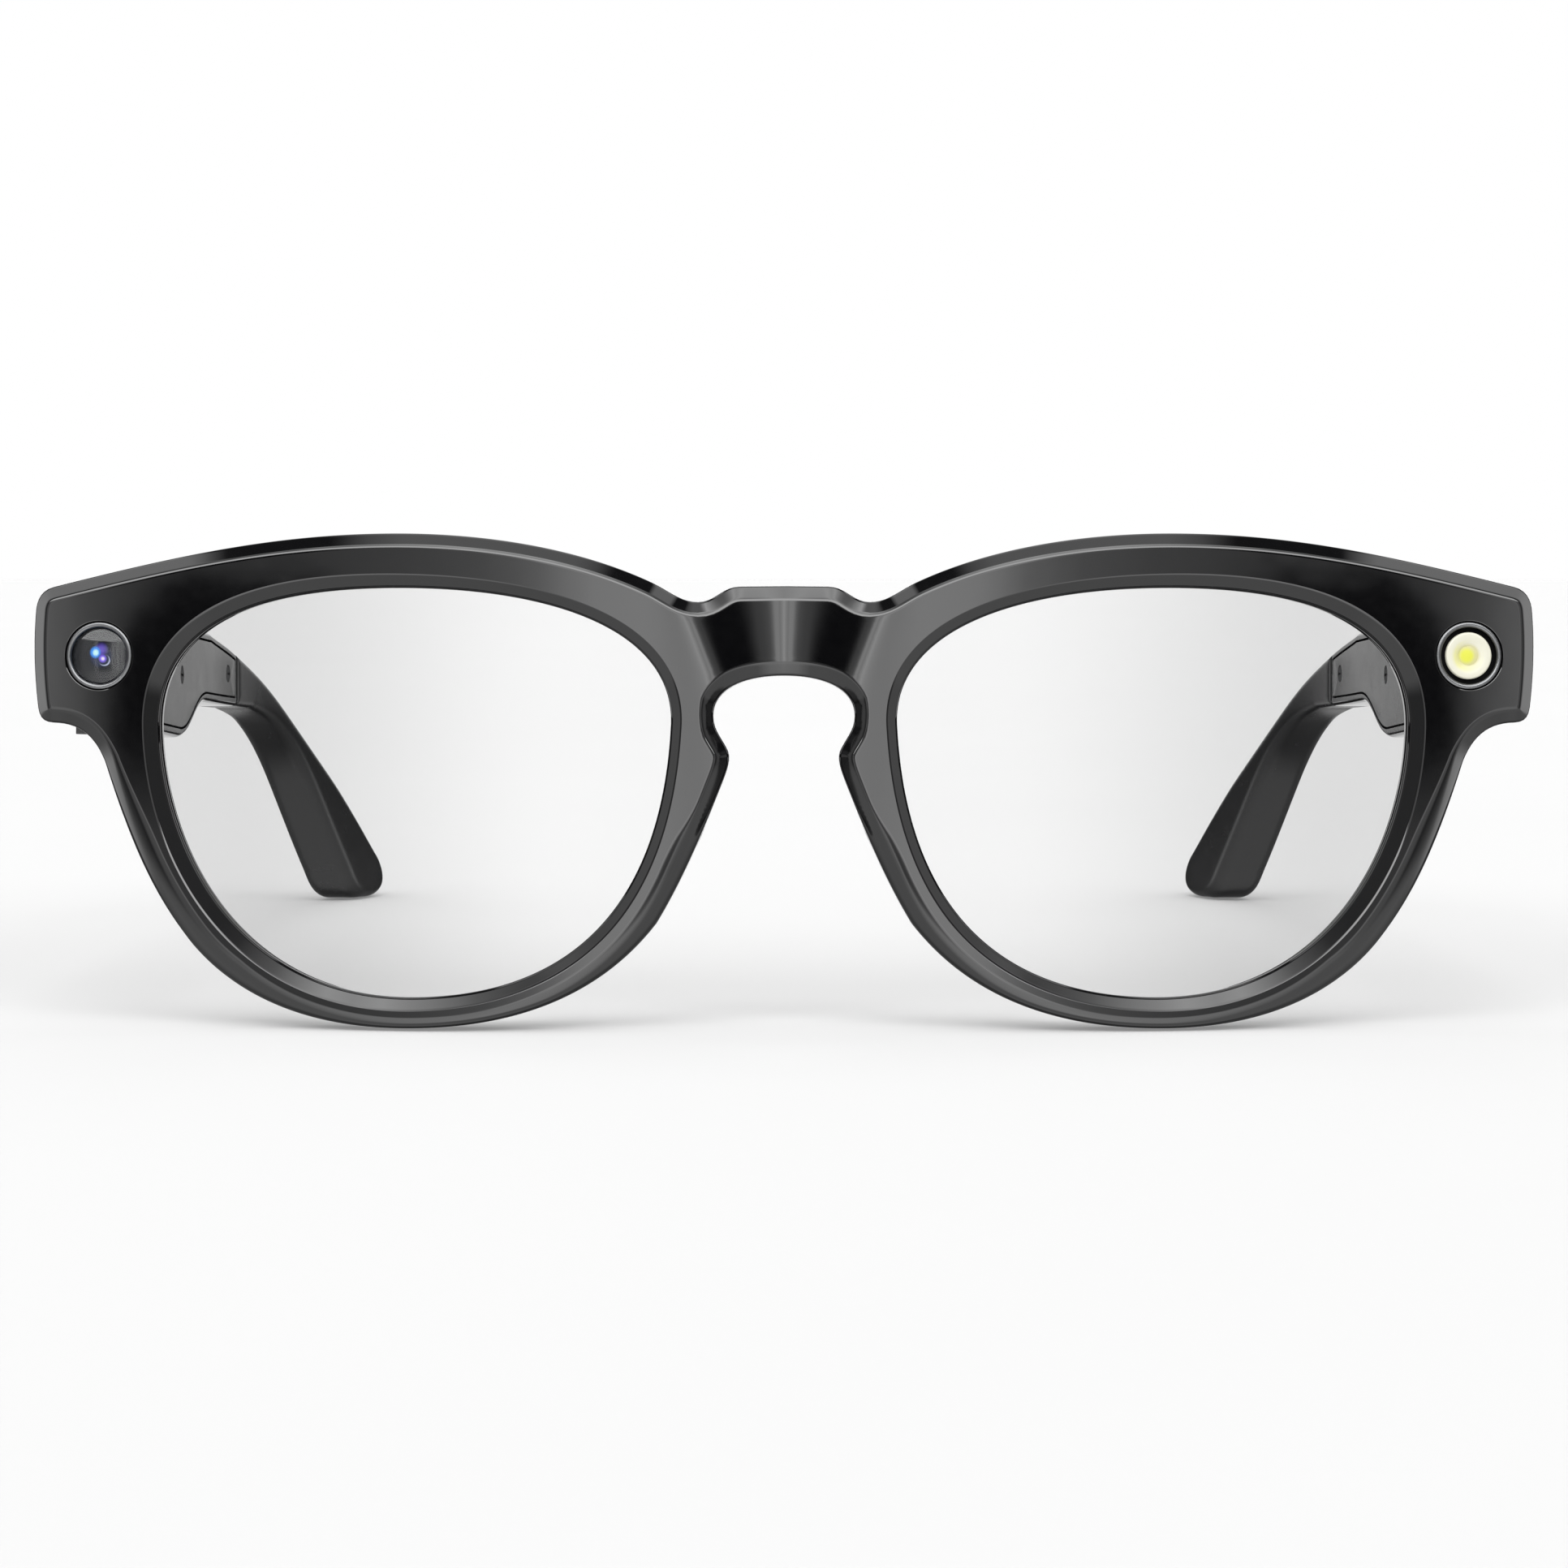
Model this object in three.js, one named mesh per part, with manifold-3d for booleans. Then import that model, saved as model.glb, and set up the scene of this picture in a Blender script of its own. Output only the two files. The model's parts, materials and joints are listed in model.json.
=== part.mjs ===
// Smart glasses: a bent two-shell front with two clear lenses, a camera in one end piece and a
// signal light in the other, and two folding arms that hold the boards, batteries and speakers.
//
// Millimetres. +X is the wearer's left, +Y runs from the front back to the arm tips, +Z is up.
// The glasses are drawn level, with the arms along Y and heights measured from the middle of the
// rims, and are tipped at the end so that the rims and the arm tips rest on the ground together.

import * as THREE from 'three';
import { mergeVertices } from 'three/addons/utils/BufferGeometryUtils.js';
import Module from 'manifold-3d';

const wasm = await Module();
wasm.setup();

// ---------------------------------------------------------------------------------------------
// Driving dimensions
// ---------------------------------------------------------------------------------------------

const bendRadius = 511; // of the front, seen from above
const stripWidth = 20; // the bend is made of flat strips this wide
const halfSpan = 80; // the strips reach this far to each side

const frontDepth = 3.4; // front shell, from its face to its rear
const frontChamfer = 1.3;
const rearFace = 3.65; // rear shell, where it begins and where it ends
const rearEnd = 5.4;
const rearChamfer = 0.6;

const lensFront = 2.25;
const lensBack = 4.05;
const lensMargin = 0.8; // how far the lens reaches under the rim
const grooveMargin = 1.0;
const grooveFront = 2.0;
const grooveBack = 4.2;

const windowX = 68.3; // camera and signal light, each side of the middle
const windowZ = 12.8;
const windowHole = 3.45;
const bezelRadius = 3.3;

const jointY = 15; // plane where the arms meet the end pieces
const jointGap = 0.3;
const pivotX = 67.3;
const pivotY = 15;
const knuckleRadius = 1.4;
const pinRadius = 0.6;
const pinBore = 0.72;
const lowKnuckle = [8.5, 10.9];
const midKnuckle = [11.15, 13.35];
const highKnuckle = [13.6, 16.0];

const armWidth = 5.6;
const armEdge = 0.8;
const armRearY = 92; // where the shell ends and the tip begins
const wall = 0.9;
const outerWall = 1.0;
const coverThickness = 1.0;
const coverGap = 0.25;
const cavityFrontY = 16.4;
const cavityRearY = 89.5;
const bendStartY = 77; // behind this the arm also curves inwards
const bendStripLength = 11.2;
const armEndY = 144;
const inwardCurve = 12.5; // how far the tip has come in at the end
const coreRadius = 0.7;
const coreBore = 1.0;

const buttonPlay = 0.25;

const restTilt = THREE.MathUtils.degToRad(3.74);
const rimBottom = -24.25;

// ---------------------------------------------------------------------------------------------
// Finishes
// ---------------------------------------------------------------------------------------------

function finish(color, roughness, metalness, extra = {}) {
  return new THREE.MeshStandardMaterial({ color, roughness, metalness, ...extra });
}

const glossBlack = finish(0x0b0b0c, 0.12, 0);
const satinBlack = finish(0x2c2d2f, 0.42, 0);
const clearLens = finish(0xe9ecee, 0.04, 0, { transparent: true, opacity: 0.25 });
const darkGlass = finish(0x14161c, 0.06, 0);
const steel = finish(0xb6b8ba, 0.3, 1);
const darkSteel = finish(0x4b4d50, 0.36, 1);
const padRubber = finish(0x161617, 0.6, 0);
const boardGreen = finish(0x1f4d38, 0.5, 0);
const flexAmber = finish(0x8a5a22, 0.45, 0);
const batterySilver = finish(0x9fa3a8, 0.35, 0.6);
const gold = finish(0xd4a84a, 0.25, 1);
const cream = finish(0xf3efdf, 0.5, 0);
const signalYellow = finish(0xf2f45a, 0.4, 0);

// ---------------------------------------------------------------------------------------------
// Solids: three.js geometry in, three.js geometry out, with joins and cuts between
// ---------------------------------------------------------------------------------------------

// A closed mesh on shared vertices, without the triangles that merging has made flat.
function welded(geometry) {
  const bare = geometry.clone();
  for (const name of Object.keys(bare.attributes)) {
    if (name !== 'position') bare.deleteAttribute(name);
  }
  const merged = mergeVertices(bare, 1e-4);
  const kept = [];
  for (let i = 0; i < merged.index.count; i += 3) {
    const [a, b, c] = [0, 1, 2].map((k) => merged.index.getX(i + k));
    if (a !== b && b !== c && c !== a) kept.push(a, b, c);
  }
  merged.setIndex(kept);
  return merged;
}

function solid(geometry) {
  const closed = welded(geometry);
  const vertProperties = new Float32Array(closed.attributes.position.array);
  const triVerts = new Uint32Array(closed.index.array);
  return new wasm.Manifold(new wasm.Mesh({ numProp: 3, vertProperties, triVerts }));
}

function surface(body) {
  const { vertProperties, triVerts } = body.getMesh();
  const geometry = new THREE.BufferGeometry();
  geometry.setAttribute('position', new THREE.BufferAttribute(new Float32Array(vertProperties), 3));
  geometry.setIndex(Array.from(triVerts));
  return geometry;
}

function joined(first, ...others) {
  return others.reduce((total, next) => total.add(next), first);
}

function cut(first, ...others) {
  return others.reduce((rest, next) => rest.subtract(next), first);
}

function block([x0, x1], [y0, y1], [z0, z1]) {
  const geometry = new THREE.BoxGeometry(x1 - x0, y1 - y0, z1 - z0);
  geometry.translate((x0 + x1) / 2, (y0 + y1) / 2, (z0 + z1) / 2);
  return solid(geometry);
}

// A round bar along one axis; centre gives the other two coordinates in the order x, y, z.
function rod(axis, radius, [from, to], centre, sides = 20) {
  const geometry = new THREE.CylinderGeometry(radius, radius, to - from, sides);
  geometry.translate(0, (from + to) / 2, 0);
  if (axis === 'x') geometry.rotateZ(-Math.PI / 2).translate(0, centre[0], centre[1]);
  if (axis === 'y') geometry.translate(centre[0], 0, centre[1]);
  if (axis === 'z') geometry.rotateX(Math.PI / 2).translate(centre[0], centre[1], 0);
  return solid(geometry);
}

function tube(axis, outer, inner, [from, to], centre, sides = 20) {
  const bore = rod(axis, inner, [from - 1, to + 1], centre, sides);
  return rod(axis, outer, [from, to], centre, sides).subtract(bore);
}

// ---------------------------------------------------------------------------------------------
// Outlines
// ---------------------------------------------------------------------------------------------

function pathPoints(path, spacing) {
  const points = path.curves.flatMap((curve) => {
    const straight = curve.isLineCurve;
    const steps = straight ? 1 : Math.max(2, Math.ceil(curve.getLength() / spacing));
    return curve.getPoints(steps).slice(0, -1);
  });
  return [...points, path.curves.at(-1).getPoint(1)];
}

// A closed outline with every side moved outwards by the same distance.
function grown(points, distance) {
  const turn = Math.sign(THREE.ShapeUtils.area(points));
  return points.map((point, i) => {
    const arriving = point.clone().sub(points.at(i - 1)).normalize();
    const leaving = points[(i + 1) % points.length].clone().sub(point).normalize();
    const along = arriving.clone().add(leaving);
    const reach = (turn * distance) / (1 + arriving.dot(leaving));
    return new THREE.Vector2(point.x + along.y * reach, point.y - along.x * reach);
  });
}

// Outlines may be drawn either way round; the solid needs the outer one anticlockwise.
function extruded(points, holes, depth, bevel) {
  const anticlockwise = THREE.ShapeUtils.isClockWise(points) ? [...points].reverse() : points;
  const shape = new THREE.Shape(anticlockwise);
  shape.holes = holes.map((hole) => new THREE.Path(hole));
  return new THREE.ExtrudeGeometry(shape, {
    depth,
    bevelEnabled: bevel > 0,
    bevelThickness: bevel,
    bevelSize: bevel,
    bevelOffset: -bevel,
    bevelSegments: 1,
  });
}

// A plate drawn in x and z that fills y0 to y1.
function frontPlate(points, holes, [y0, y1], bevel = 0) {
  const geometry = extruded(points, holes, y1 - y0 - 2 * bevel, bevel);
  geometry.rotateX(Math.PI / 2).translate(0, y1 - bevel, 0);
  return solid(geometry);
}

// The same with a chamfer on one face only: the plate is made longer and its far end is cut off.
function plateWithChamfer(points, holes, [y0, y1], chamfer, atFront) {
  const longer = atFront ? [y0, y1 + 2 * chamfer] : [y0 - 2 * chamfer, y1];
  const everywhere = [-200, 200];
  return frontPlate(points, holes, longer, chamfer).intersect(block(everywhere, [y0, y1], everywhere));
}

// Right half of the front, from the middle of the brow round the rim to the top of the nose gap.
function halfFrontPath() {
  const edge = new THREE.Path();
  edge.moveTo(0, 19.6);
  edge.lineTo(4.4, 19.55);
  edge.bezierCurveTo(6.2, 19.5, 6.8, 18.0, 8.5, 18.0);
  edge.bezierCurveTo(10.2, 18.0, 11.2, 19.0, 13.0, 19.9);
  edge.bezierCurveTo(19.5, 22.98, 28.5, 24.87, 38.8, 24.87);
  edge.bezierCurveTo(50.5, 24.87, 60.0, 22.9, 73.2, 19.75);
  edge.bezierCurveTo(74.4, 19.45, 74.85, 18.6, 75.0, 17.6);
  edge.bezierCurveTo(75.3, 14.3, 75.2, 11.0, 74.8, 7.7);
  edge.bezierCurveTo(74.65, 6.6, 74.2, 6.2, 73.2, 6.15);
  edge.bezierCurveTo(70.6, 6.1, 69.0, 4.9, 67.95, 2.3);
  edge.bezierCurveTo(66.3, -3.0, 64.3, -9.3, 59.9, -15.0);
  edge.bezierCurveTo(55.6, -20.8, 48.0, rimBottom, 37.6, rimBottom);
  edge.bezierCurveTo(27.0, rimBottom, 18.3, -21.2, 12.6, -13.8);
  edge.bezierCurveTo(10.0, -9.5, 8.1, -4.9, 6.4, -0.6);
  edge.bezierCurveTo(5.6, 1.4, 5.1, 2.6, 5.7, 3.6);
  edge.bezierCurveTo(6.2, 4.6, 7.0, 5.4, 7.0, 6.75);
  edge.bezierCurveTo(7.0, 9.3, 4.2, 10.75, 0, 10.75);
  return edge;
}

function frontOutline() {
  const half = pathPoints(halfFrontPath(), 4.8);
  const other = half.slice(1, -1).reverse().map((point) => new THREE.Vector2(-point.x, point.y));
  return [...half, ...other];
}

// Opening of the rim in front of one lens; side is 1 on the wearer's left and -1 on the right.
function lensOutline(side) {
  const edge = new THREE.Path();
  edge.moveTo(11.2, 5.8);
  edge.bezierCurveTo(10.8, 14.2, 22.0, 19.52, 38.5, 19.52);
  edge.bezierCurveTo(52.0, 19.52, 62.4, 16.2, 62.4, 5.2);
  edge.bezierCurveTo(62.4, -8.0, 53.0, -21.15, 36.8, -21.15);
  edge.bezierCurveTo(21.0, -21.15, 12.2, -12.0, 11.2, 5.8);
  const points = pathPoints(edge, 5.2).slice(0, -1);
  return points.map((point) => new THREE.Vector2(side * point.x, point.y));
}

// Arm seen from the side, drawn in y and z, from just ahead of the joint to the tip and back.
function armOutline() {
  const at = (y, z) => new THREE.Vector2(y, z);
  const edge = new THREE.Path();
  edge.moveTo(11, 18.3);
  edge.lineTo(bendStartY, 18);
  edge.splineThru([at(92, 16.1), at(110, 11.25), at(130, 0.9), at(142.6, -9.4)]);
  edge.bezierCurveTo(145.3, -12.0, 145.0, -15.4, 140.5, -15.4);
  edge.lineTo(138.5, -15.4);
  edge.bezierCurveTo(136.0, -15.4, 134.6, -13.9, 133.2, -12.2);
  edge.splineThru([at(120, 1.6), at(110, 7.6), at(100, 9.5)]);
  edge.lineTo(74, 9.7);
  edge.bezierCurveTo(66.5, 9.7, 63.5, 5.27, 56, 5.27);
  edge.lineTo(11, 6.53);
  edge.lineTo(11, 18.3);
  return pathPoints(edge, 6.5).slice(0, -1);
}

// ---------------------------------------------------------------------------------------------
// Bending: every triangle is cut where the strips meet, so that flat strips carry the curve
// ---------------------------------------------------------------------------------------------

function splitTriangle(corners, axis, level) {
  const height = corners.map((corner) => corner[axis] - level);
  if (Math.max(...height) < 1e-5 || Math.min(...height) > -1e-5) return [corners];
  const above = [];
  const below = [];
  corners.forEach((corner, i) => {
    const j = (i + 1) % 3;
    if (height[i] > -1e-5) above.push(corner);
    if (height[i] < 1e-5) below.push(corner);
    if (Math.abs(height[i]) < 1e-5 || Math.abs(height[j]) < 1e-5) return;
    if (height[i] * height[j] > 0) return;
    const crossing = corner.clone().lerp(corners[j], height[i] / (height[i] - height[j]));
    crossing[axis] = level;
    above.push(crossing);
    below.push(crossing);
  });
  return [above, below].flatMap((ring) => ring.slice(2).map((last, i) => [ring[0], ring[i + 1], last]));
}

function bentAlong(body, axis, levels, moved, rise) {
  const geometry = surface(body).toNonIndexed();
  const position = geometry.attributes.position;
  let triangles = [];
  for (let i = 0; i < position.count; i += 3) {
    triangles.push([0, 1, 2].map((k) => new THREE.Vector3().fromBufferAttribute(position, i + k)));
  }
  for (const level of levels) {
    triangles = triangles.flatMap((corners) => splitTriangle(corners, axis, level));
  }
  const points = triangles.flat().map((corner) => corner.clone());
  for (const point of points) point[moved] += rise(point[axis]);
  return solid(new THREE.BufferGeometry().setFromPoints(points));
}

function evenLevels(from, to, step) {
  const count = Math.round((to - from) / step);
  return Array.from({ length: count + 1 }, (_, i) => from + i * step);
}

// A curve read off straight chords between the levels, so that neighbours keep their gaps exactly.
function chorded(levels, curve) {
  return (value) => {
    const next = Math.min(Math.max(levels.findIndex((level) => level > value), 1), levels.length - 1);
    const [a, b] = [levels[next - 1], levels[next]];
    return THREE.MathUtils.mapLinear(value, a, b, curve(a), curve(b));
  };
}

const frontLevels = evenLevels(-halfSpan, halfSpan, stripWidth);
const frontSag = chorded(frontLevels, (x) => (x * x) / (2 * bendRadius));

function bentFront(body) {
  return bentAlong(body, 'x', frontLevels, 'y', frontSag);
}

const armLevels = [0, ...evenLevels(bendStartY, armEndY + bendStripLength, bendStripLength)];

function armLine(y) {
  const inward = Math.max(y - bendStartY, 0) / (armEndY - bendStartY);
  return 69 - (y - 13) / 65 - inwardCurve * inward * inward;
}

// Arm pieces are drawn with x as the distance from the arm's inner face.
function bentArm(body) {
  return bentAlong(body, 'y', armLevels.slice(1), 'x', chorded(armLevels, armLine));
}

// ---------------------------------------------------------------------------------------------
// Assembly helpers
// ---------------------------------------------------------------------------------------------

const glasses = new THREE.Group();
const level = new THREE.Group();
glasses.add(level);

function place(parent, name, body, material) {
  const mesh = new THREE.Mesh(surface(body), material);
  mesh.name = name;
  parent.add(mesh);
}

// ---------------------------------------------------------------------------------------------
// Front: shells, lenses, cable
// ---------------------------------------------------------------------------------------------

const outline = frontOutline();
const openings = [1, -1].map(lensOutline);
const sides = [
  { word: 'left', sign: 1, opening: openings[0] },
  { word: 'right', sign: -1, opening: openings[1] },
];

function signed([a, b], sign) {
  return sign > 0 ? [a, b] : [-b, -a];
}

function lensGrooves([y0, y1]) {
  return openings.map((points) => frontPlate(grown(points, grooveMargin), [], [y0, y1]));
}

const browLine = [
  [66, 15.4], [60, 20.2], [50, 21.7], [38, 22.3], [28, 21.5], [20, 19.5], [13, 16.6], [6, 15.3],
];

// Flat ribbon that runs above the lenses and joins the camera side to the light side.
function ribbon(width, [y0, y1]) {
  const right = browLine.map(([x, z]) => new THREE.Vector2(x, z));
  const left = [...right].reverse().map((point) => new THREE.Vector2(-point.x, point.y));
  const middle = new THREE.SplineCurve([...right, ...left]);
  const steps = 20;
  const upper = [];
  const lower = [];
  for (let i = 0; i <= steps; i += 1) {
    const centre = middle.getPoint(i / steps);
    const along = middle.getTangent(i / steps);
    const across = new THREE.Vector2(-along.y, along.x).multiplyScalar(width / 2);
    upper.push(centre.clone().add(across));
    lower.unshift(centre.clone().sub(across));
  }
  return frontPlate([...upper, ...lower], [], [y0, y1]);
}

function windowHoles([y0, y1]) {
  return [1, -1].map((sign) => rod('y', windowHole, [y0, y1], [sign * windowX, windowZ], 28));
}

function frontShell() {
  const plate = plateWithChamfer(outline, openings, [0, frontDepth], frontChamfer, true);
  const grooves = lensGrooves([grooveFront, frontDepth + 1]);
  const channel = ribbon(1.8, [2.7, frontDepth + 1]);
  return bentFront(cut(plate, ...grooves, ...windowHoles([-1, frontDepth + 1]), channel));
}

// End piece behind the rim: carries the hinge and hides the camera or the signal light.
function endPiece(sign) {
  const plan = [[64.3, 8.6], [75.4, 10.1], [75.4, jointY], [64.3, jointY]];
  const points = plan.map(([x, y]) => new THREE.Vector2(sign * x, y));
  const column = new THREE.ExtrudeGeometry(new THREE.Shape(points), { depth: 13.4, bevelEnabled: false });
  column.translate(0, 0, 6.2);
  const within = frontPlate(grown(outline, -0.05), [], [0, jointY + 1]);
  return solid(column).intersect(within);
}

function endPieceHollows(sign) {
  const devicePocket = block(signed([65, 73.3], sign), [5, 10.7], [9, 17]);
  const cableSlot = block(signed([70.3, 72.8], sign), [10, jointY + 1], [10.2, 15.6]);
  const hingeRecess = block(signed([60, 69.3], sign), [13.2, jointY + 1], [8.1, 17.1]);
  const plateRecess = block(signed([60, 65.45], sign), [11.1, jointY + 1], [8.1, 17.1]);
  const screwHoles = bracketScrewHeights.map((z) =>
    rod('x', 0.65, signed([65, 68.9], sign), [bracketScrewY, z], 12));
  return [devicePocket, cableSlot, hingeRecess, plateRecess, ...screwHoles];
}

function rearShell() {
  const holes = openings.map((points) => grown(points, 0.2));
  const plate = plateWithChamfer(outline, holes, [rearFace, rearEnd], rearChamfer, false);
  const bent = bentFront(cut(plate, ...lensGrooves([rearFace - 1, grooveBack])));
  const whole = joined(bent, endPiece(1), endPiece(-1));
  return cut(whole, ...endPieceHollows(1), ...endPieceHollows(-1));
}

const bracketScrewY = 12.3;
const bracketScrewHeights = [9.9, 15.1];

place(level, 'front_frame', frontShell(), glossBlack);
place(level, 'rear_frame', rearShell(), glossBlack);
place(level, 'brow_flex', bentFront(ribbon(1.4, [2.9, 3.2])), flexAmber);

for (const { word, opening } of sides) {
  const blank = frontPlate(grown(opening, lensMargin), [], [lensFront, lensBack]);
  place(level, `${word}_lens`, bentFront(blank), clearLens);
}

// Soft pad along the nose edge of the rear shell, flat where it is bonded on.
function nosePad(sign) {
  const egg = new THREE.SphereGeometry(1, 14, 10);
  egg.scale(1.9, 4.4, 7.2).rotateY(sign * -0.44).translate(sign * 10.35, rearEnd + 0.4, -5.2);
  const behind = block([-30, 30], [rearEnd + 0.3, 30], [-30, 30]);
  return bentFront(solid(egg).intersect(behind));
}

for (const { word, sign } of sides) place(level, `${word}_nose_pad`, nosePad(sign), padRubber);

// ---------------------------------------------------------------------------------------------
// Camera and signal light
// ---------------------------------------------------------------------------------------------

const cameraCentre = [-windowX, windowZ];
const lightCentre = [windowX, windowZ];

function cameraLens() {
  const radius = 1.3;
  const crown = 0.45;
  const profile = [new THREE.Vector2(0, 0)];
  for (let i = 0; i <= 4; i += 1) {
    const r = radius * (1 - i / 4);
    profile.push(new THREE.Vector2(r, 0.5 + crown * (1 - (r / radius) ** 2)));
  }
  const dome = new THREE.LatheGeometry(profile, 16);
  dome.rotateX(Math.PI).translate(cameraCentre[0], 2.4, cameraCentre[1]);
  return solid(dome);
}

function squareUnit([cx, cz], half, [y0, y1]) {
  return block([cx - half, cx + half], [y0, y1], [cz - half, cz + half]);
}

const cameraPieces = [
  ['camera_bezel', tube('y', bezelRadius, 2.75, [0.05, 1.9], cameraCentre, 28), steel],
  ['camera_window', rod('y', 2.6, [0.35, 0.85], cameraCentre), darkGlass],
  ['camera_barrel', tube('y', 2.5, 1.5, [1.15, 3.4], cameraCentre), satinBlack],
  ['camera_lens', cameraLens(), darkGlass],
  ['camera_module', squareUnit(cameraCentre, 3, [3.75, 5.3]), darkSteel],
];
const lightPieces = [
  ['led_bezel', tube('y', bezelRadius, 2.85, [0.05, 1.9], lightCentre, 28), steel],
  ['led_holder', rod('y', 2.7, [0.95, 2.4], lightCentre), satinBlack],
  ['led_diffuser', tube('y', 2.34, 1.1, [0.35, 0.8], lightCentre), cream],
  ['led_emitter', rod('y', 0.9, [0.3, 0.8], lightCentre, 14), signalYellow],
  ['led_board', squareUnit(lightCentre, 2.8, [3.75, 4.6]), boardGreen],
];
for (const [name, body, material] of [...cameraPieces, ...lightPieces]) {
  place(level, name, bentFront(body), material);
}

// ---------------------------------------------------------------------------------------------
// Hinges
// ---------------------------------------------------------------------------------------------

function knuckle([z0, z1]) {
  return tube('z', knuckleRadius, pinBore, [z0, z1], [pivotX, pivotY], 16);
}

function pinRoom() {
  return rod('z', pinBore, [0, 30], [pivotX, pivotY], 16);
}

function bracket() {
  const plate = block([64.45, 65.2], [11.35, 14.7], [8.4, 16.1]);
  const holes = bracketScrewHeights.map((z) => rod('x', 0.65, [64, 66], [bracketScrewY, z], 12));
  const webs = [lowKnuckle, highKnuckle].map((span) => block([65, pivotX], [13.7, 14.7], span));
  const knuckles = [lowKnuckle, highKnuckle].map(knuckle);
  return cut(joined(plate, ...webs, ...knuckles), pinRoom(), ...holes);
}

// Screw with its axis across the arm; x is where its head meets the plate it holds.
function crossScrew([headStart, headEnd], shankEnd, y, z, headRadius, shankRadius) {
  const head = rod('x', headRadius, [headStart, headEnd], [y, z], 14);
  const shank = rod('x', shankRadius, [headEnd - 0.1, shankEnd], [y, z], 8);
  const slot = block([headStart - 1, headStart + 0.12], [y - 2, y + 2], [z - 0.12, z + 0.12]);
  return joined(head, shank).subtract(slot);
}

function hingePin() {
  const head = rod('z', 1.15, [highKnuckle[1] + 0.1, highKnuckle[1] + 0.6], [pivotX, pivotY], 16);
  const shaft = rod('z', pinRadius, [lowKnuckle[0] + 0.1, highKnuckle[1] + 0.2], [pivotX, pivotY], 12);
  return joined(head, shaft);
}

const leafScrewPlaces = [[19.8, 10.9], [25.2, 13.7]];

function hingeLeaf() {
  const holes = leafScrewPlaces.map(([y, z]) => rod('x', 0.7, [-2, 1], [y, z], 10));
  const plate = bentArm(cut(block([-0.95, -0.25], [17, 27.5], [9.3, 15.4]), ...holes));
  const web = block([67.95, 68.6], [pivotY, 17.4], midKnuckle);
  return cut(joined(plate, web, knuckle(midKnuckle)), pinRoom());
}

for (const { word, sign } of sides) {
  const side = new THREE.Group();
  side.scale.x = sign;
  level.add(side);
  place(side, `${word}_hinge_bracket`, bracket(), darkSteel);
  place(side, `${word}_hinge_pin`, hingePin(), steel);
  bracketScrewHeights.forEach((z, i) => {
    const screw = crossScrew([64.0, 64.4], 68.4, bracketScrewY, z, 0.85, 0.45);
    place(side, `${word}_bracket_screw_${i + 1}`, screw, steel);
  });
}

// ---------------------------------------------------------------------------------------------
// Arms
// ---------------------------------------------------------------------------------------------

const armPoints = armOutline();
const coverScrewPlaces = [[56.8, 12.4], [87, 13.4]];
const bossPlaces = [...leafScrewPlaces, ...coverScrewPlaces];
const coreLine = [[90.2, 13.1], [103, 11.5], [113, 8.2], [122, 3.2], [130, -3.4]];
const coreDepth = armWidth / 2;

// Plate drawn in y and z; x is the distance from the arm's inner face.
function armPlate(points, [x0, x1], bevel = 0) {
  const geometry = extruded(points, [], x1 - x0 - 2 * bevel, bevel);
  geometry.applyMatrix4(new THREE.Matrix4().makeBasis(
    new THREE.Vector3(0, 1, 0), new THREE.Vector3(0, 0, 1), new THREE.Vector3(1, 0, 0)));
  geometry.translate(x0 + bevel, 0, 0);
  return solid(geometry);
}

function lengthOfArm([y0, y1]) {
  return block([-20, 20], [y0, y1], [-40, 40]);
}

function coreRod(radius, [from, to]) {
  const points = coreLine.map(([y, z]) => new THREE.Vector3(coreDepth, y, z));
  const route = new THREE.CatmullRomCurve3(points);
  const section = new THREE.Shape().absarc(0, 0, radius, 0, 2 * Math.PI);
  const settings = { steps: 10, curveSegments: 4, bevelEnabled: false, extrudePath: route };
  const rodBody = solid(new THREE.ExtrudeGeometry(section, settings));
  return rodBody.intersect(lengthOfArm([from, to]));
}

const shutterHole = { u: [1.6, 4.2], y: [26, 34] };
const powerHole = { u: [1.6, 4.1], y: [17.6, 21.6] };
const meshHole = { u: [1.9, 3.7], y: [45.4, 53.4] };

function holeThroughEdge({ u, y }, heights) {
  return block([u[0] - buttonPlay, u[1] + buttonPlay], [y[0] - buttonPlay, y[1] + buttonPlay], heights);
}

function armShell(word) {
  const blank = armPlate(armPoints, [0, armWidth], armEdge);
  const full = blank.intersect(lengthOfArm([jointY + jointGap, armRearY]));
  const cavity = armPlate(grown(armPoints, -wall), [-1, armWidth - outerWall]);
  const hollow = cavity.intersect(lengthOfArm([cavityFrontY, cavityRearY]));
  const bosses = bossPlaces.map(([y, z]) => rod('x', 1.5, [1.3, armWidth - 0.5], [y, z], 14));
  const screwBores = bossPlaces.map(([y, z]) => rod('x', 0.6, [1, armWidth - 1.2], [y, z], 10));
  const cableSlot = block([1.6, 3.9], [10, cavityFrontY + 1], [10.4, 15.4]);
  const coreHole = coreRod(coreBore, [cavityRearY - 2, armRearY + 1]);
  const grille = holeThroughEdge(meshHole, [0, 8]);
  const buttonHoles = [holeThroughEdge(shutterHole, [16, 30]), holeThroughEdge(powerHole, [0, 8.2])];
  const cuts = [...screwBores, cableSlot, coreHole, grille, ...(word === 'right' ? buttonHoles : [])];
  return bentArm(cut(joined(cut(full, hollow), ...bosses), ...cuts));
}

const contactPlaces = [[33, 12.2], [37.5, 12.2]];

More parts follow.
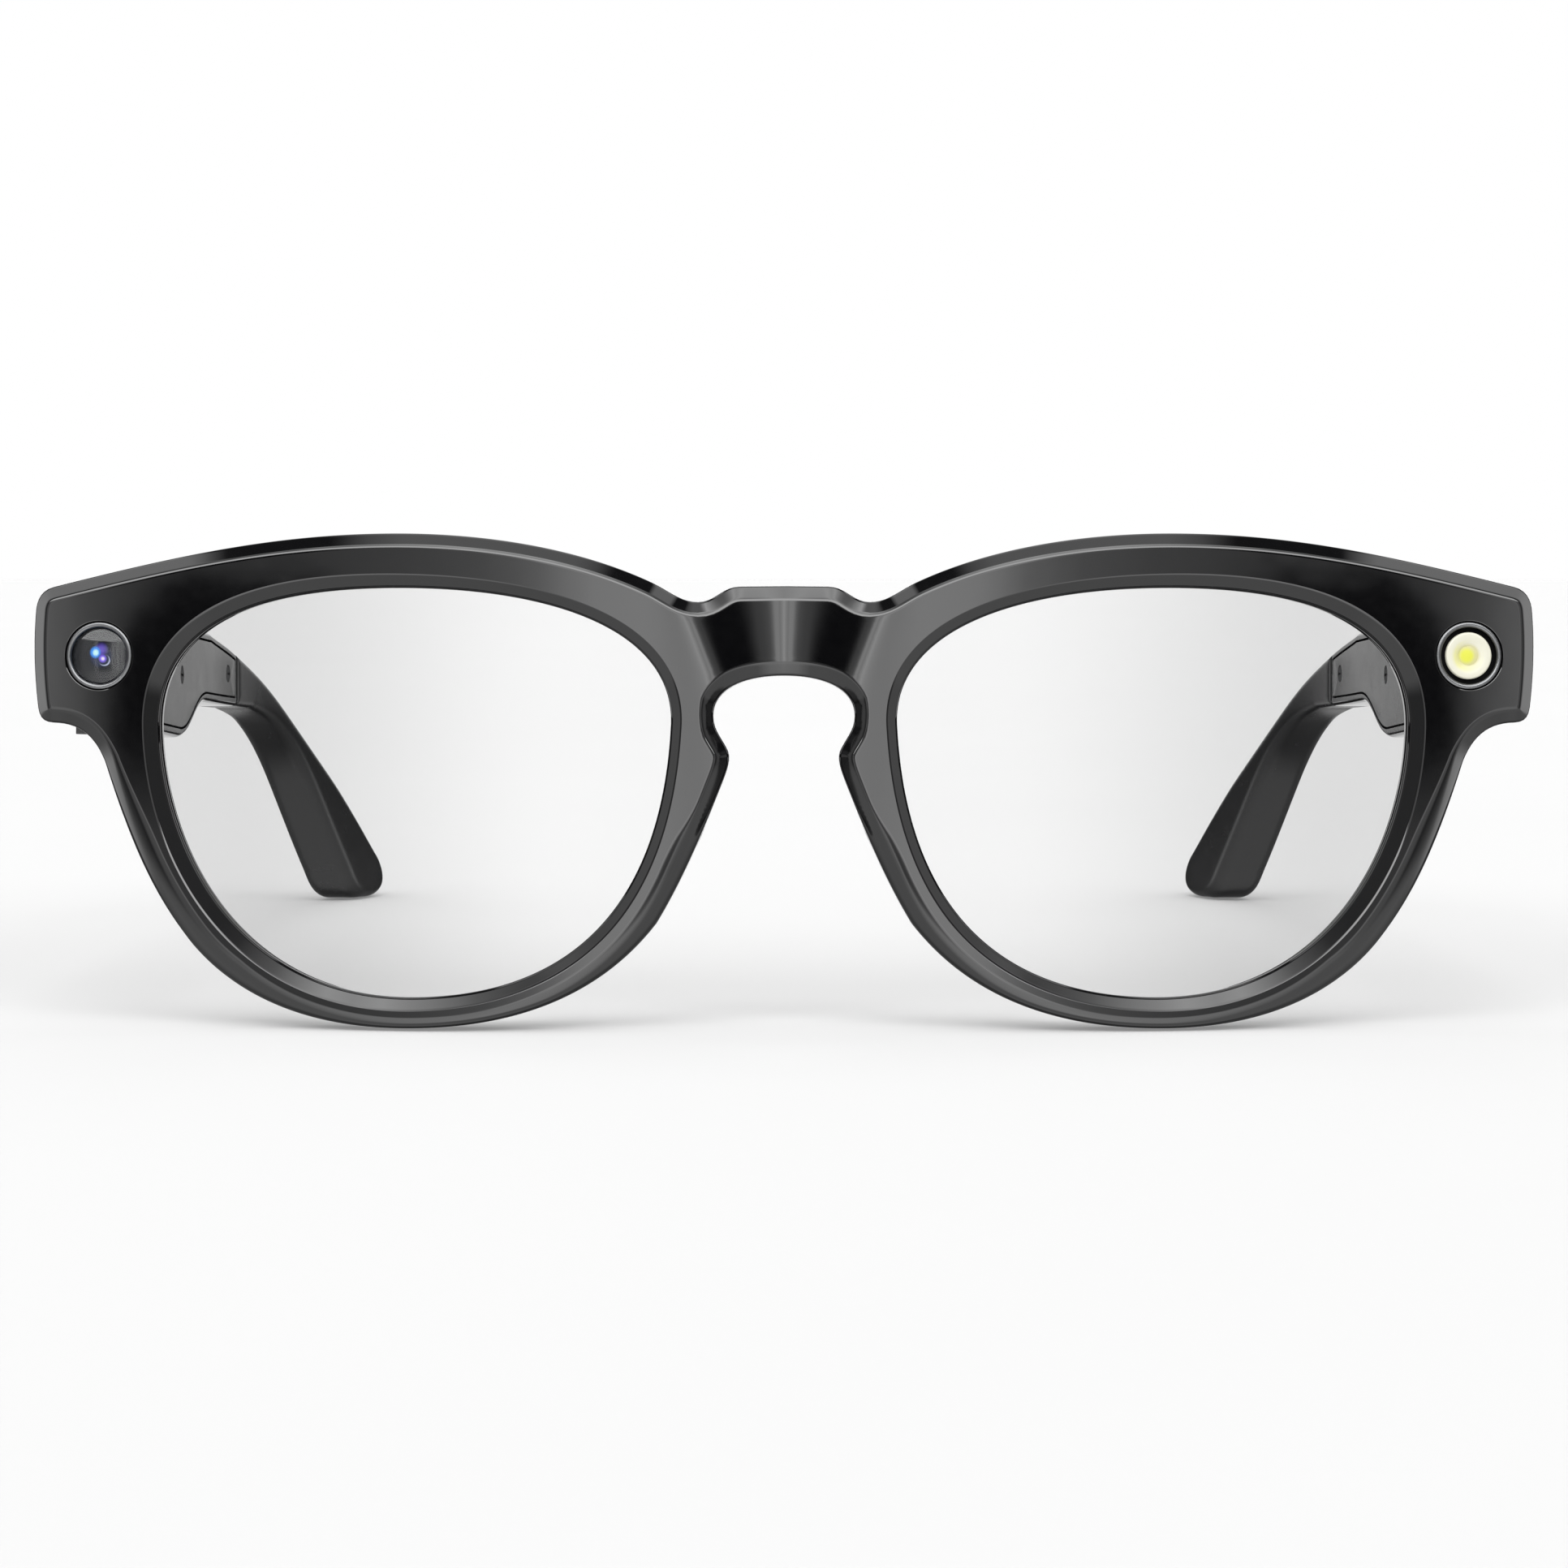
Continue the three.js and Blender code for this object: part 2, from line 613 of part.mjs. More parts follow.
function armCover(word) {
  const inset = wall + coverGap;
  const blank = armPlate(grown(armPoints, -inset), [0, coverThickness]);
  const trimmed = blank.intersect(lengthOfArm([cavityFrontY + coverGap, cavityRearY - coverGap]));
  const screwHoles = bossPlaces.map(([y, z]) => rod('x', 0.7, [-1, 2], [y, z], 10));
  const sinks = coverScrewPlaces.map(([y, z]) => rod('x', 1.25, [-1, 0.55], [y, z], 14));
  const contactHoles = contactPlaces.map(([y, z]) => rod('x', 1.25, [-1, 2], [y, z], 14));
  return bentArm(cut(trimmed, ...screwHoles, ...sinks, ...(word === 'right' ? contactHoles : [])));
}

function armTip() {
  const full = armPlate(armPoints, [0, armWidth], armEdge);
  const tip = full.intersect(lengthOfArm([armRearY + jointGap, 200]));
  return bentArm(tip.subtract(coreRod(coreBore, [armRearY, 129.4])));
}

// Pieces inside an arm: depth from the inner face, reach along the arm, height.
const rightContents = [
  ['main_board', [2.9, 3.5], [28, 43], [9.2, 15.6], boardGreen],
  ['shield_can', [1.7, 2.7], [39, 42.6], [9.8, 15], steel],
  ['touch_sensor', [4.1, 4.4], [31, 53], [8.4, 15.4], flexAmber],
];
const leftContents = [
  ['charge_board', [2.9, 3.5], [28, 43], [9.2, 15.6], boardGreen],
];
const sharedContents = [
  ['battery', [1.4, 4.3], [60, 84.6], [11.1, 16.1], batterySilver],
  ['speaker', [1.5, 3.9], [44.6, 54.4], [7.2, 11.6], darkSteel],
];

function speakerGrille() {
  const plate = block([meshHole.u[0], meshHole.u[1]], meshHole.y, [5.75, 6.15]);
  const pitch = 1.0;
  const slots = evenLevels(meshHole.y[0] + 0.5, meshHole.y[1] - 0.5, pitch).map((y) =>
    block([meshHole.u[0] + 0.35, meshHole.u[1] - 0.35], [y - 0.22, y + 0.22], [5, 7]));
  return cut(plate, ...slots);
}

// A push button: cap through the wall and a flange that keeps it in; up is 1 or -1.
function pushButton({ u, y }, capFace, flangeFace, up) {
  const capSpan = up > 0 ? [flangeFace - 0.2, capFace] : [capFace, flangeFace + 0.2];
  const flangeSpan = up > 0 ? [flangeFace - 0.5, flangeFace] : [flangeFace, flangeFace + 0.5];
  const cap = block(u, y, capSpan);
  const flange = block([u[0] - 0.2, u[1] + 0.2], [y[0] - 0.7, y[1] + 0.7], flangeSpan);
  return bentArm(joined(cap, flange));
}

for (const { word, sign } of sides) {
  const arm = new THREE.Group();
  arm.scale.x = sign;
  level.add(arm);
  place(arm, `${word}_arm_shell`, armShell(word), glossBlack);
  place(arm, `${word}_arm_cover`, armCover(word), satinBlack);
  place(arm, `${word}_arm_tip`, armTip(), satinBlack);
  place(arm, `${word}_tip_core`, bentArm(coreRod(coreRadius, [90.2, 129.1])), steel);
  place(arm, `${word}_hinge_leaf`, hingeLeaf(), darkSteel);
  leafScrewPlaces.forEach(([y, z], i) => {
    const screw = bentArm(crossScrew([-1.3, -1.0], 3.6, y, z, 1.0, 0.4));
    place(arm, `${word}_leaf_screw_${i + 1}`, screw, steel);
  });
  coverScrewPlaces.forEach(([y, z], i) => {
    const screw = bentArm(crossScrew([0.05, 0.45], 3.6, y, z, 1.0, 0.4));
    place(arm, `${word}_cover_screw_${i + 1}`, screw, steel);
  });
  place(arm, `${word}_speaker_grille`, bentArm(speakerGrille()), darkSteel);
  const contents = [...sharedContents, ...(word === 'right' ? rightContents : leftContents)];
  for (const [name, u, y, z, material] of contents) {
    const shared = sharedContents.some((row) => row[0] === name);
    place(arm, shared ? `${word}_${name}` : name, bentArm(block(u, y, z)), material);
  }
  if (word === 'left') continue;
  contactPlaces.forEach(([y, z], i) => {
    place(arm, `charge_contact_${i + 1}`, bentArm(rod('x', 1.0, [0.05, 2.5], [y, z], 14)), gold);
  });
  place(arm, 'shutter_button', pushButton(shutterHole, 18.75, 16.9, 1), satinBlack);
  place(arm, 'power_button', pushButton(powerHole, 5.15, 7.9, -1), satinBlack);
}

// Tipped back until rims and tips stand on the ground, and centred over the origin.
level.rotation.x = -restTilt;
glasses.updateMatrixWorld(true);
const reach = new THREE.Box3().setFromObject(level, true);
level.position.set(0, -(reach.min.y + reach.max.y) / 2, -reach.min.z);

export default glasses;
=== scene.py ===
# %% [markdown]
# # Smart glasses, finished
# The frame that is loaded here holds every working piece at its real size. This lesson gives the
# visible pieces their final surfaces: the polished front, the clear lenses, the camera and the
# signal light, the arms with their inner covers, and a finish for every piece that stays as it is.
#
# All shapes are drawn in level millimetres: x to the wearer's left, y back along the arms, z up,
# with the middle of the front at the origin. One matrix then takes them to their place in the frame.

import json
import math

import bmesh
import bpy
import numpy as np
from mathutils import Matrix, Vector
from mathutils.geometry import delaunay_2d_cdt


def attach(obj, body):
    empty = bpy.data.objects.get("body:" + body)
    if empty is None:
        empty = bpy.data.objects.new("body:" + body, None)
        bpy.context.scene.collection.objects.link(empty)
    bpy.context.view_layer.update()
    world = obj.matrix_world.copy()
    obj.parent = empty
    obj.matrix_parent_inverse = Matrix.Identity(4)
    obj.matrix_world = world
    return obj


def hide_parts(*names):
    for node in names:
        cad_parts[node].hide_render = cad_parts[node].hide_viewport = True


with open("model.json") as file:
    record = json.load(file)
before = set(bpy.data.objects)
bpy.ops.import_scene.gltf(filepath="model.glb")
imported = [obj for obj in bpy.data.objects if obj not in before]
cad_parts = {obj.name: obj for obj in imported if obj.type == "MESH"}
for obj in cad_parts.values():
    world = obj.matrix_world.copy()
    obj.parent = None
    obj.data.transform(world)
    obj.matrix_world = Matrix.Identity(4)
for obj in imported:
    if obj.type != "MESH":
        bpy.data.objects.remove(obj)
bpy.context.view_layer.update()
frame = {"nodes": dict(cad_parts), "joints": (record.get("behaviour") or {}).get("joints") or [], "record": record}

# %% [markdown]
# ## Where the glasses stand
# The glasses rest on their rims and on the arm tips, so they lean back a little. The left hinge
# gives both facts: its axis is the level drawing's z axis, and its point is a known pivot.

# %% Level millimetres to the frame
PIVOT = Vector((67.3, 15.0, 12.25))
left_fold = next(joint for joint in frame["joints"] if joint["name"] == "left_arm_fold")
hinge_axis = Vector(left_fold["axis"])
lean = math.atan2(hinge_axis.y, hinge_axis.z)
LEAN_BACK = Matrix.Rotation(-lean, 4, "X")
LEVEL = (
    Matrix.Translation(Vector(left_fold["pos_m"]))
    @ LEAN_BACK
    @ Matrix.Scale(0.001, 4)
    @ Matrix.Translation(-PIVOT)
)
print("lean back, degrees:", round(math.degrees(lean), 2))

# %% [markdown]
# ## Camera
# The view is square on to the front, from a good arm's length through a short telephoto lens. The
# camera leans with the glasses, so the front stays upright in the frame.

# %% Camera
VIEW_DISTANCE = 370.0
camera_data = bpy.data.cameras.new("camera")
camera_data.lens = 86.3
camera_data.sensor_width = 36.0
camera_data.clip_start = 0.01
camera_data.clip_end = 20.0
camera = bpy.data.objects.new("camera", camera_data)
bpy.context.scene.collection.objects.link(camera)
camera.matrix_world = (
    Matrix.Translation(LEVEL @ Vector((0, -VIEW_DISTANCE, 0)))
    @ LEAN_BACK
    @ Matrix.Rotation(math.radians(90), 4, "X")
)
bpy.context.scene.camera = camera
bpy.context.scene.view_settings.view_transform = "Standard"
print("camera height, mm:", round(camera.matrix_world.translation.z * 1000, 1))

# %% [markdown]
# ## Writing shaders as sums
# A finish is mostly arithmetic on patterns. `Signal` wraps one output socket, so that `1 - mask` or
# `noise * 0.3 + 0.1` adds the Math nodes. `Graph.add` makes every other node: settings are set
# first, because some of them change the sockets, and then each socket gets a value or a link.


# %% Signals and graphs
class Signal:
    def __init__(self, graph, socket):
        self.graph = graph
        self.socket = socket

    def __add__(self, other):
        return self.graph.math("ADD", self, other)

    def __sub__(self, other):
        return self.graph.math("SUBTRACT", self, other)

    def __rsub__(self, other):
        return self.graph.math("SUBTRACT", other, self)

    def __mul__(self, other):
        return self.graph.math("MULTIPLY", self, other)

    def __truediv__(self, other):
        return self.graph.math("DIVIDE", self, other)

    __radd__ = __add__
    __rmul__ = __mul__


class Graph:
    def __init__(self, tree):
        self.tree = tree
        tree.nodes.clear()

    def add(self, kind, settings=None, inputs=None, output=0):
        node = self.tree.nodes.new(kind)
        for name, value in (settings or {}).items():
            if name == "stops":
                self.set_stops(node.color_ramp, value)
            else:
                setattr(node, name, value)
        for name, value in (inputs or {}).items():
            if isinstance(value, Signal):
                self.tree.links.new(value.socket, node.inputs[name])
            else:
                node.inputs[name].default_value = value
        return Signal(self, node.outputs[output]) if len(node.outputs) else None

    def set_stops(self, ramp, stops):
        ramp.elements.remove(ramp.elements[1])
        for number, (position, shade) in enumerate(stops):
            element = ramp.elements.new(position) if number else ramp.elements[0]
            element.position = position
            element.color = (shade, shade, shade, 1)

    def math(self, operation, *values):
        return self.add("ShaderNodeMath", {"operation": operation}, dict(enumerate(values)))

    def split(self, vector):
        parts = self.add("ShaderNodeSeparateXYZ", {}, {0: vector}).socket.node.outputs
        return [Signal(self, part) for part in parts]

    def step(self, value, start, end):
        """0 before start, 1 after end, with a soft turn between them; start may be the larger."""
        settings = {"interpolation_type": "SMOOTHSTEP"}
        return self.add("ShaderNodeMapRange", settings, {0: value, 1: start, 2: end})

    def blend(self, amount, first, second):
        """One colour turning into another."""
        inputs = {"Factor": amount, 6: first, 7: second}
        return self.add("ShaderNodeMix", {"data_type": "RGBA"}, inputs, 2)

    def noise(self, scale, detail=3.0, vector=None):
        inputs = {"Scale": scale, "Detail": detail}
        if vector:
            inputs["Vector"] = vector
        return self.add("ShaderNodeTexNoise", {}, inputs)

    def place(self):
        """Where a point of the surface is, in the piece's own metres."""
        return self.add("ShaderNodeTexCoord", {}, {}, "Object")


# %% [markdown]
# ## Studio
# Black gloss shows little but the room around it. The room here is worked out from the direction
# alone: a bright panel behind the camera, dark gaps beside it, grey side panels, and a striped
# ceiling for the bevels that face up. The background itself stays plain white.

# %% Room light
world = bpy.data.worlds.new("studio")
bpy.context.scene.world = world
world.use_nodes = True
room = Graph(world.node_tree)
heading = room.add("ShaderNodeTexCoord", {}, {}, "Generated")
level_heading = room.add(
    "ShaderNodeVectorRotate", {"rotation_type": "X_AXIS"}, {"Vector": heading, "Angle": lean}
)
across, away, up = room.split(level_heading)
width = room.math("ABSOLUTE", across)
bearing = room.math("DEGREES", room.math("ARCTAN2", width, 0 - away))
height = room.math("DEGREES", room.math("ARCSINE", up))
roll = room.math("DEGREES", room.math("ARCTAN2", width, up))
BRIGHTEST = 8.0


def profile(angle, stops):
    """Brightness read off a list of (degrees, brightness)."""
    shares = [(degrees / 180, bright / BRIGHTEST) for degrees, bright in stops]
    return room.add("ShaderNodeValToRGB", {"stops": shares}, {0: angle / 180}) * BRIGHTEST


walls = profile(
    bearing,
    [
        (0, 5.8), (1.2, 4.8), (3.2, 3.7), (5, 4.4), (7.3, 4.1), (9, 2.3), (11, 1.4), (14, 1.0), (17, 0.8),
        (24, 0.7), (26, 1.2), (28, 2.4), (31, 2.5), (34, 1.4), (46, 1.2), (54, 0.3), (76, 0.4), (90, 0.9),
        (104, 2.1), (118, 2.0), (124, 0.5), (132, 0.1), (152, 0.05), (160, 0.5), (168, 1.0), (180, 1.0),
    ],
)
slant = room.math("MAXIMUM", height - 2.0, 0) * 2.0
level_gap = (
    room.step(bearing + slant, 26.2, 24.4) * room.step(height, 3.4, 3.0) * room.step(height, -1.0, 0.8)
)
high_gap = room.step(bearing, 30, 26) * room.step(height, 4.6, 5.2)
gap = room.step(bearing, 15.5, 19) * (level_gap + high_gap)
upper_panel = room.step(height, 19, 21.5) * room.step(bearing, 54, 50)
walls = walls * (1 - gap * 0.97) * (1 - upper_panel) + upper_panel * 8.5
rear_ceiling = profile(
    roll, [(0, 1.4), (9, 1.4), (12, 0.9), (14.5, 0.06), (22.5, 0.06), (24.5, 2.0), (31, 2.1), (60, 1.8)]
)
front_ceiling = profile(roll, [(0, 4.8), (6, 5.6), (20, 1.8), (32, 0.5), (42, 0.3), (90, 0.3)])
in_front = room.step(away, 0.02, -0.03)
ceiling = rear_ceiling * (1 - in_front) + front_ceiling * in_front
to_ceiling = room.step(height, 40, 56)
near_floor = room.step(height, -12, -24)
below = room.step(height, -58, -74)
low_walls = profile(bearing, [(0, 3.6), (25, 3.0), (45, 1.5), (90, 1.2), (125, 0.35), (180, 0.15)])
low = near_floor * low_walls * (1 - below) + below * (1.2 - room.step(away, 0.1, 0.3) * 1.0)
light = walls * (1 - to_ceiling) * (1 - near_floor) + ceiling * to_ceiling + low
seen = room.add("ShaderNodeLightPath", {}, {}, "Is Camera Ray")
brightness = light * (1 - seen) + seen
glow = room.add("ShaderNodeBackground", {}, {"Color": (1, 1, 1, 1), "Strength": brightness})
room.add("ShaderNodeOutputWorld", {}, {"Surface": glow})
print("room:", len(world.node_tree.nodes), "nodes")

# %% [markdown]
# ## Floor
# A wide pale sheet. Mirror reflections leave it out, so that the polished undersides show the
# room's own lower half and not their own shadow.

# %% Floor
REACH = 4.0
floor_corners = [(-REACH, -REACH, 0), (REACH, -REACH, 0), (REACH, REACH, 0), (-REACH, REACH, 0)]
floor_mesh = bpy.data.meshes.new("floor")
floor_mesh.from_pydata(floor_corners, [], [(0, 1, 2, 3)])
floor = bpy.data.objects.new("floor", floor_mesh)
bpy.context.scene.collection.objects.link(floor)
floor.visible_glossy = False
floor_paint = bpy.data.materials.new("floor_paper")
floor_paint.use_nodes = True
paper = Graph(floor_paint.node_tree)
grain = paper.noise(60.0) * 0.01 + 0.29
paper_shader = paper.add(
    "ShaderNodeBsdfPrincipled",
    {},
    {"Base Color": grain, "Roughness": 0.9, "Emission Color": (1, 1, 1, 1), "Emission Strength": 0.22},
)
paper.add("ShaderNodeOutputMaterial", {}, {"Surface": paper_shader})
floor_mesh.materials.append(floor_paint)
print("floor laid")

# %% [markdown]
# ## Finishes
# Each finish is one function's worth of nodes on a Principled shader. `finish` does what they
# share: a graph, the shader, its output. The patterns are in metres, so a grain of a tenth of a
# millimetre is a noise of scale 10,000.

# %% Finish helper
finishes = {}


def finish(name, build):
    material = bpy.data.materials.new(name)
    material.use_nodes = True
    graph = Graph(material.node_tree)
    shader = build(graph)
    graph.add("ShaderNodeOutputMaterial", {}, {"Surface": shader})
    finishes[name] = material
    print("finish:", name, len(material.node_tree.nodes), "nodes")
    return material


def bumped(graph, height, strength, distance):
    return graph.add("ShaderNodeBump", {}, {"Height": height, "Strength": strength, "Distance": distance}, 0)


def principled(graph, **inputs):
    names = {key.replace("_", " "): value for key, value in inputs.items()}
    return graph.add("ShaderNodeBsdfPrincipled", {}, names)


# %% [markdown]
# ### Polished black
# Injection-moulded nylon, tumbled and lacquered. It is nearly black under a clear gloss; the
# lacquer has a slow orange-peel wave and a trace of fine haze that keeps highlights from looking cut.


# %% Polished black
def polished_black(graph):
    place = graph.place()
    haze = graph.noise(900.0, 4.0, place)
    wave = graph.noise(220.0, 1.0, place)
    shade = graph.blend(haze, (0.0008, 0.0008, 0.001, 1), (0.0016, 0.0016, 0.0018, 1))
    return principled(
        graph,
        Base_Color=shade,
        Roughness=haze * 0.03 + 0.03,
        IOR=1.5,
        Normal=bumped(graph, wave, 0.03, 0.0002),
    )


finish("gloss_black", polished_black)

# %% [markdown]
# ### Satin black
# The arm covers and tips come out of an etched mould: the same nylon with a fine even grain, so
# light spreads into a soft grey instead of a mirror image.


# %% Satin black
def satin(graph):
    place = graph.place()
    grain = graph.noise(9000.0, 2.0, place)
    cloud = graph.noise(300.0, 3.0, place)
    shade = graph.blend(cloud, (0.0016, 0.0016, 0.0017, 1), (0.0026, 0.0026, 0.0028, 1))
    return principled(
        graph,
        Base_Color=shade,
        Roughness=cloud * 0.05 + 0.24,
        Normal=bumped(graph, grain, 0.05, 0.00002),
    )


finish("satin_black", satin)

# %% [markdown]
# ### Clear lens
# Demo lenses are thin coated plastic with a faint grey cast, a little stronger towards the temples.
# A low alpha does this: most of the light goes straight through. The coating takes nearly all of
# the gloss away, which a low index of refraction stands for.


# %% Clear lens
def lens_clear(graph):
    place = graph.place()
    across = graph.math("ABSOLUTE", graph.split(place)[0])
    cast = graph.step(across, 0.02, 0.055)
    cloud = graph.noise(14.0, 2.0, place)
    return principled(
        graph,
        Base_Color=(0.006, 0.0062, 0.0066, 1),
        Roughness=0.02,
        IOR=1.12,
        Alpha=cast * 0.11 + cloud * 0.04 + 0.01,
    )


finish("clear_lens", lens_clear)


# %% [markdown]
# ### Rubber, metals and small parts
# The nose pads are soft silicone, which scatters light broadly. The bezels are turned aluminium
# with fine rings; springs, pins and screws are plated steel; the boards and cables show the tones
# of solder mask and polyimide.


# %% Small finishes
def pad_silicone(graph):
    place = graph.place()
    dust = graph.noise(4000.0, 3.0, place)
    shade = graph.blend(dust, (0.012, 0.012, 0.013, 1), (0.02, 0.02, 0.021, 1))
    return principled(
        graph, Base_Color=shade, Roughness=dust * 0.1 + 0.5, Normal=bumped(graph, dust, 0.1, 0.00004)
    )


def metal(light, dark, rough):
    def build(graph):
        place = graph.place()
        streaks = graph.noise(5000.0, 2.0, place)
        shade = graph.blend(streaks, dark, light)
        return principled(
            graph, Base_Color=shade, Metallic=1.0, Roughness=streaks * 0.12 + rough,
            Normal=bumped(graph, streaks, 0.08, 0.00002),
        )

    return build


def solder_mask(graph):
    place = graph.place()
    traces = graph.step(graph.noise(1800.0, 1.0, place), 0.5, 0.54)
    shade = graph.blend(traces, (0.012, 0.07, 0.035, 1), (0.02, 0.11, 0.055, 1))
    return principled(graph, Base_Color=shade, Roughness=0.4 - traces * 0.1)


def polyimide(graph):
    place = graph.place()
    lines = graph.add("ShaderNodeTexWave", {"bands_direction": "Z"}, {"Vector": place, "Scale": 900.0})
    shade = graph.blend(lines, (0.24, 0.085, 0.012, 1), (0.32, 0.13, 0.02, 1))
    return principled(graph, Base_Color=shade, Roughness=0.35)


def dark_optic(graph):
    place = graph.place()
    cloud = graph.noise(900.0, 2.0, place)
    shade = graph.blend(cloud, (0.003, 0.004, 0.007, 1), (0.006, 0.007, 0.012, 1))
    return principled(graph, Base_Color=shade, Roughness=cloud * 0.01 + 0.02, IOR=1.52)


def plastic(shade_a, shade_b, rough):
    def build(graph):
        cloud = graph.noise(1500.0, 2.0, graph.place())
        return principled(graph, Base_Color=graph.blend(cloud, shade_a, shade_b), Roughness=rough)

    return build


finish("pad_rubber", pad_silicone)
finish("steel", metal((0.62, 0.63, 0.64, 1), (0.5, 0.51, 0.52, 1), 0.2))
finish("dark_steel", metal((0.035, 0.036, 0.038, 1), (0.02, 0.021, 0.022, 1), 0.42))
finish("battery_silver", metal((0.5, 0.52, 0.55, 1), (0.42, 0.43, 0.45, 1), 0.3))
finish("gold", metal((0.83, 0.6, 0.25, 1), (0.7, 0.48, 0.18, 1), 0.18))
finish("board_green", solder_mask)
finish("flex_amber", polyimide)
finish("dark_glass", dark_optic)
finish("cream", plastic((0.86, 0.83, 0.72, 1), (0.9, 0.88, 0.8, 1), 0.35))
finish("signal_yellow", plastic((0.86, 0.9, 0.08, 1), (0.9, 0.92, 0.16, 1), 0.3))

# %% [markdown]
# ## Every CAD piece gets its finish
# The record names a material slot for each node. The hinges, screws, boards and batteries are the
# right shape already, so they only change material, and a fine bevel catches light on their edges.
# The screws of the inner covers are blackened, so that they hide in the black plastic.

# %% Dress the CAD nodes
record_slots = {row["node"]: row["material_slot"] for row in frame["record"]["subparts"]}
for name, node in frame["nodes"].items():
    slot = record_slots[name]
    node.data.materials.clear()
    node.data.materials.append(finishes["dark_steel" if "cover_screw" in name else slot])
    weld = node.modifiers.new("weld", "WELD")
    weld.merge_threshold = 1e-6
    soften = node.modifiers.new("soften", "BEVEL")
    soften.width = 0.00008
    soften.segments = 2
    soften.limit_method = "ANGLE"
    soften.harden_normals = True
print("nodes dressed:", len(frame["nodes"]))

# %% [markdown]
# ## Outlines
# Every moulded piece here is a flat outline given a depth. `traced` walks a path of straight and
# curved strokes at an even pace, and `inward` moves the closed line to its inside. In a corner
# tighter than the move, the line would cross itself; its points close up on the mitre instead.


# %% Tracing and moving outlines
def traced(start, strokes, pace):
    """Points along a path; a stroke is one end point, or two handles and an end point."""
    points = [np.array(start, float)]
    for stroke in strokes:
        here = points[-1]
        stops = np.array([here, *np.reshape(stroke, (-1, 2))], float)
        length = np.linalg.norm(np.diff(stops, axis=0), axis=1).sum()
        for t in np.linspace(0, 1, max(2, round(length / pace) + 1))[1:]:
            ladder = stops
            while len(ladder) > 1:
                ladder = ladder[:-1] * (1 - t) + ladder[1:] * t
            points.append(ladder[0])
    return np.array(points)


def through(points, pace):
    """A smooth line through all the points."""
    ends = [points[0], *points, points[-1]]
    line = []
    for a, b, c, d in zip(ends, ends[1:], ends[2:], ends[3:]):
        a, b, c, d = (np.array(p, float) for p in (a, b, c, d))
        bend = a - b * 2.5 + c * 2 - d / 2
        twist = b * 3 - a - c * 3 + d
        for t in np.linspace(0, 1, max(2, round(np.linalg.norm(c - b) / pace)), endpoint=False):
            line.append(b + (c - a) * t / 2 + bend * t**2 + twist * t**3 / 2)
    return np.array([*line, points[-1]], float)


def turned(points, anticlockwise=True):
    x, z = points.T
    area = (x * np.roll(z, -1) - np.roll(x, -1) * z).sum()
    return points if (area > 0) == anticlockwise else points[::-1]


def gap_to(points, line):
    """Shortest distance from each point to a closed line."""
    start, span = line, np.roll(line, -1, 0) - line
    offset = points[:, None] - start[None]
    along = (offset * span).sum(2) / np.maximum((span**2).sum(1), 1e-12)
    nearest = offset - np.clip(along, 0, 1)[..., None] * span
    return np.sqrt((nearest**2).sum(2).min(1))


def inward(points, distance):
    """The closed line moved to its left by a distance, which may differ from point to point."""
    distance = np.broadcast_to(distance, len(points)).astype(float)
    if not np.any(distance):
        return points
    arriving = points - np.roll(points, 1, 0)
    leaving = np.roll(points, -1, 0) - points
    arriving /= np.linalg.norm(arriving, axis=1)[:, None]
    leaving /= np.linalg.norm(leaving, axis=1)[:, None]
    along = arriving + leaving
    reach = distance / np.maximum(1 + (arriving * leaving).sum(1), 0.4)
    moved = points + np.stack([-along[:, 1], along[:, 0]], 1) * reach[:, None]
    good = gap_to(moved, points) > distance * 0.985 - 1e-6
    for i in np.flatnonzero(~good):
        before = next(i - k for k in range(1, len(points)) if good[i - k])
        after = next((i + k) % len(points) for k in range(1, len(points)) if good[(i + k) % len(points)])
        moved[i] = (moved[before] + moved[after]) / 2
    return moved


square = np.array([(0, 0), (4, 0), (4, 4), (0, 4)], float)
print("a 4 mm square moved inwards by 1 mm:", inward(square, 1).tolist())

# %% [markdown]
# ## Moulding
# `Moulding` collects the rows and faces of one piece. A row is the outline at one depth, a band
# joins two rows, and a fill closes the space inside a row, round any holes, with a triangle net
# whose inner points lie on an even grid so that curved panels stay smooth. Where points of a row
# lie on one line, the net may add a triangle without any area, so slivers are left out.


# %% Moulding
SLIVER = 1e-4


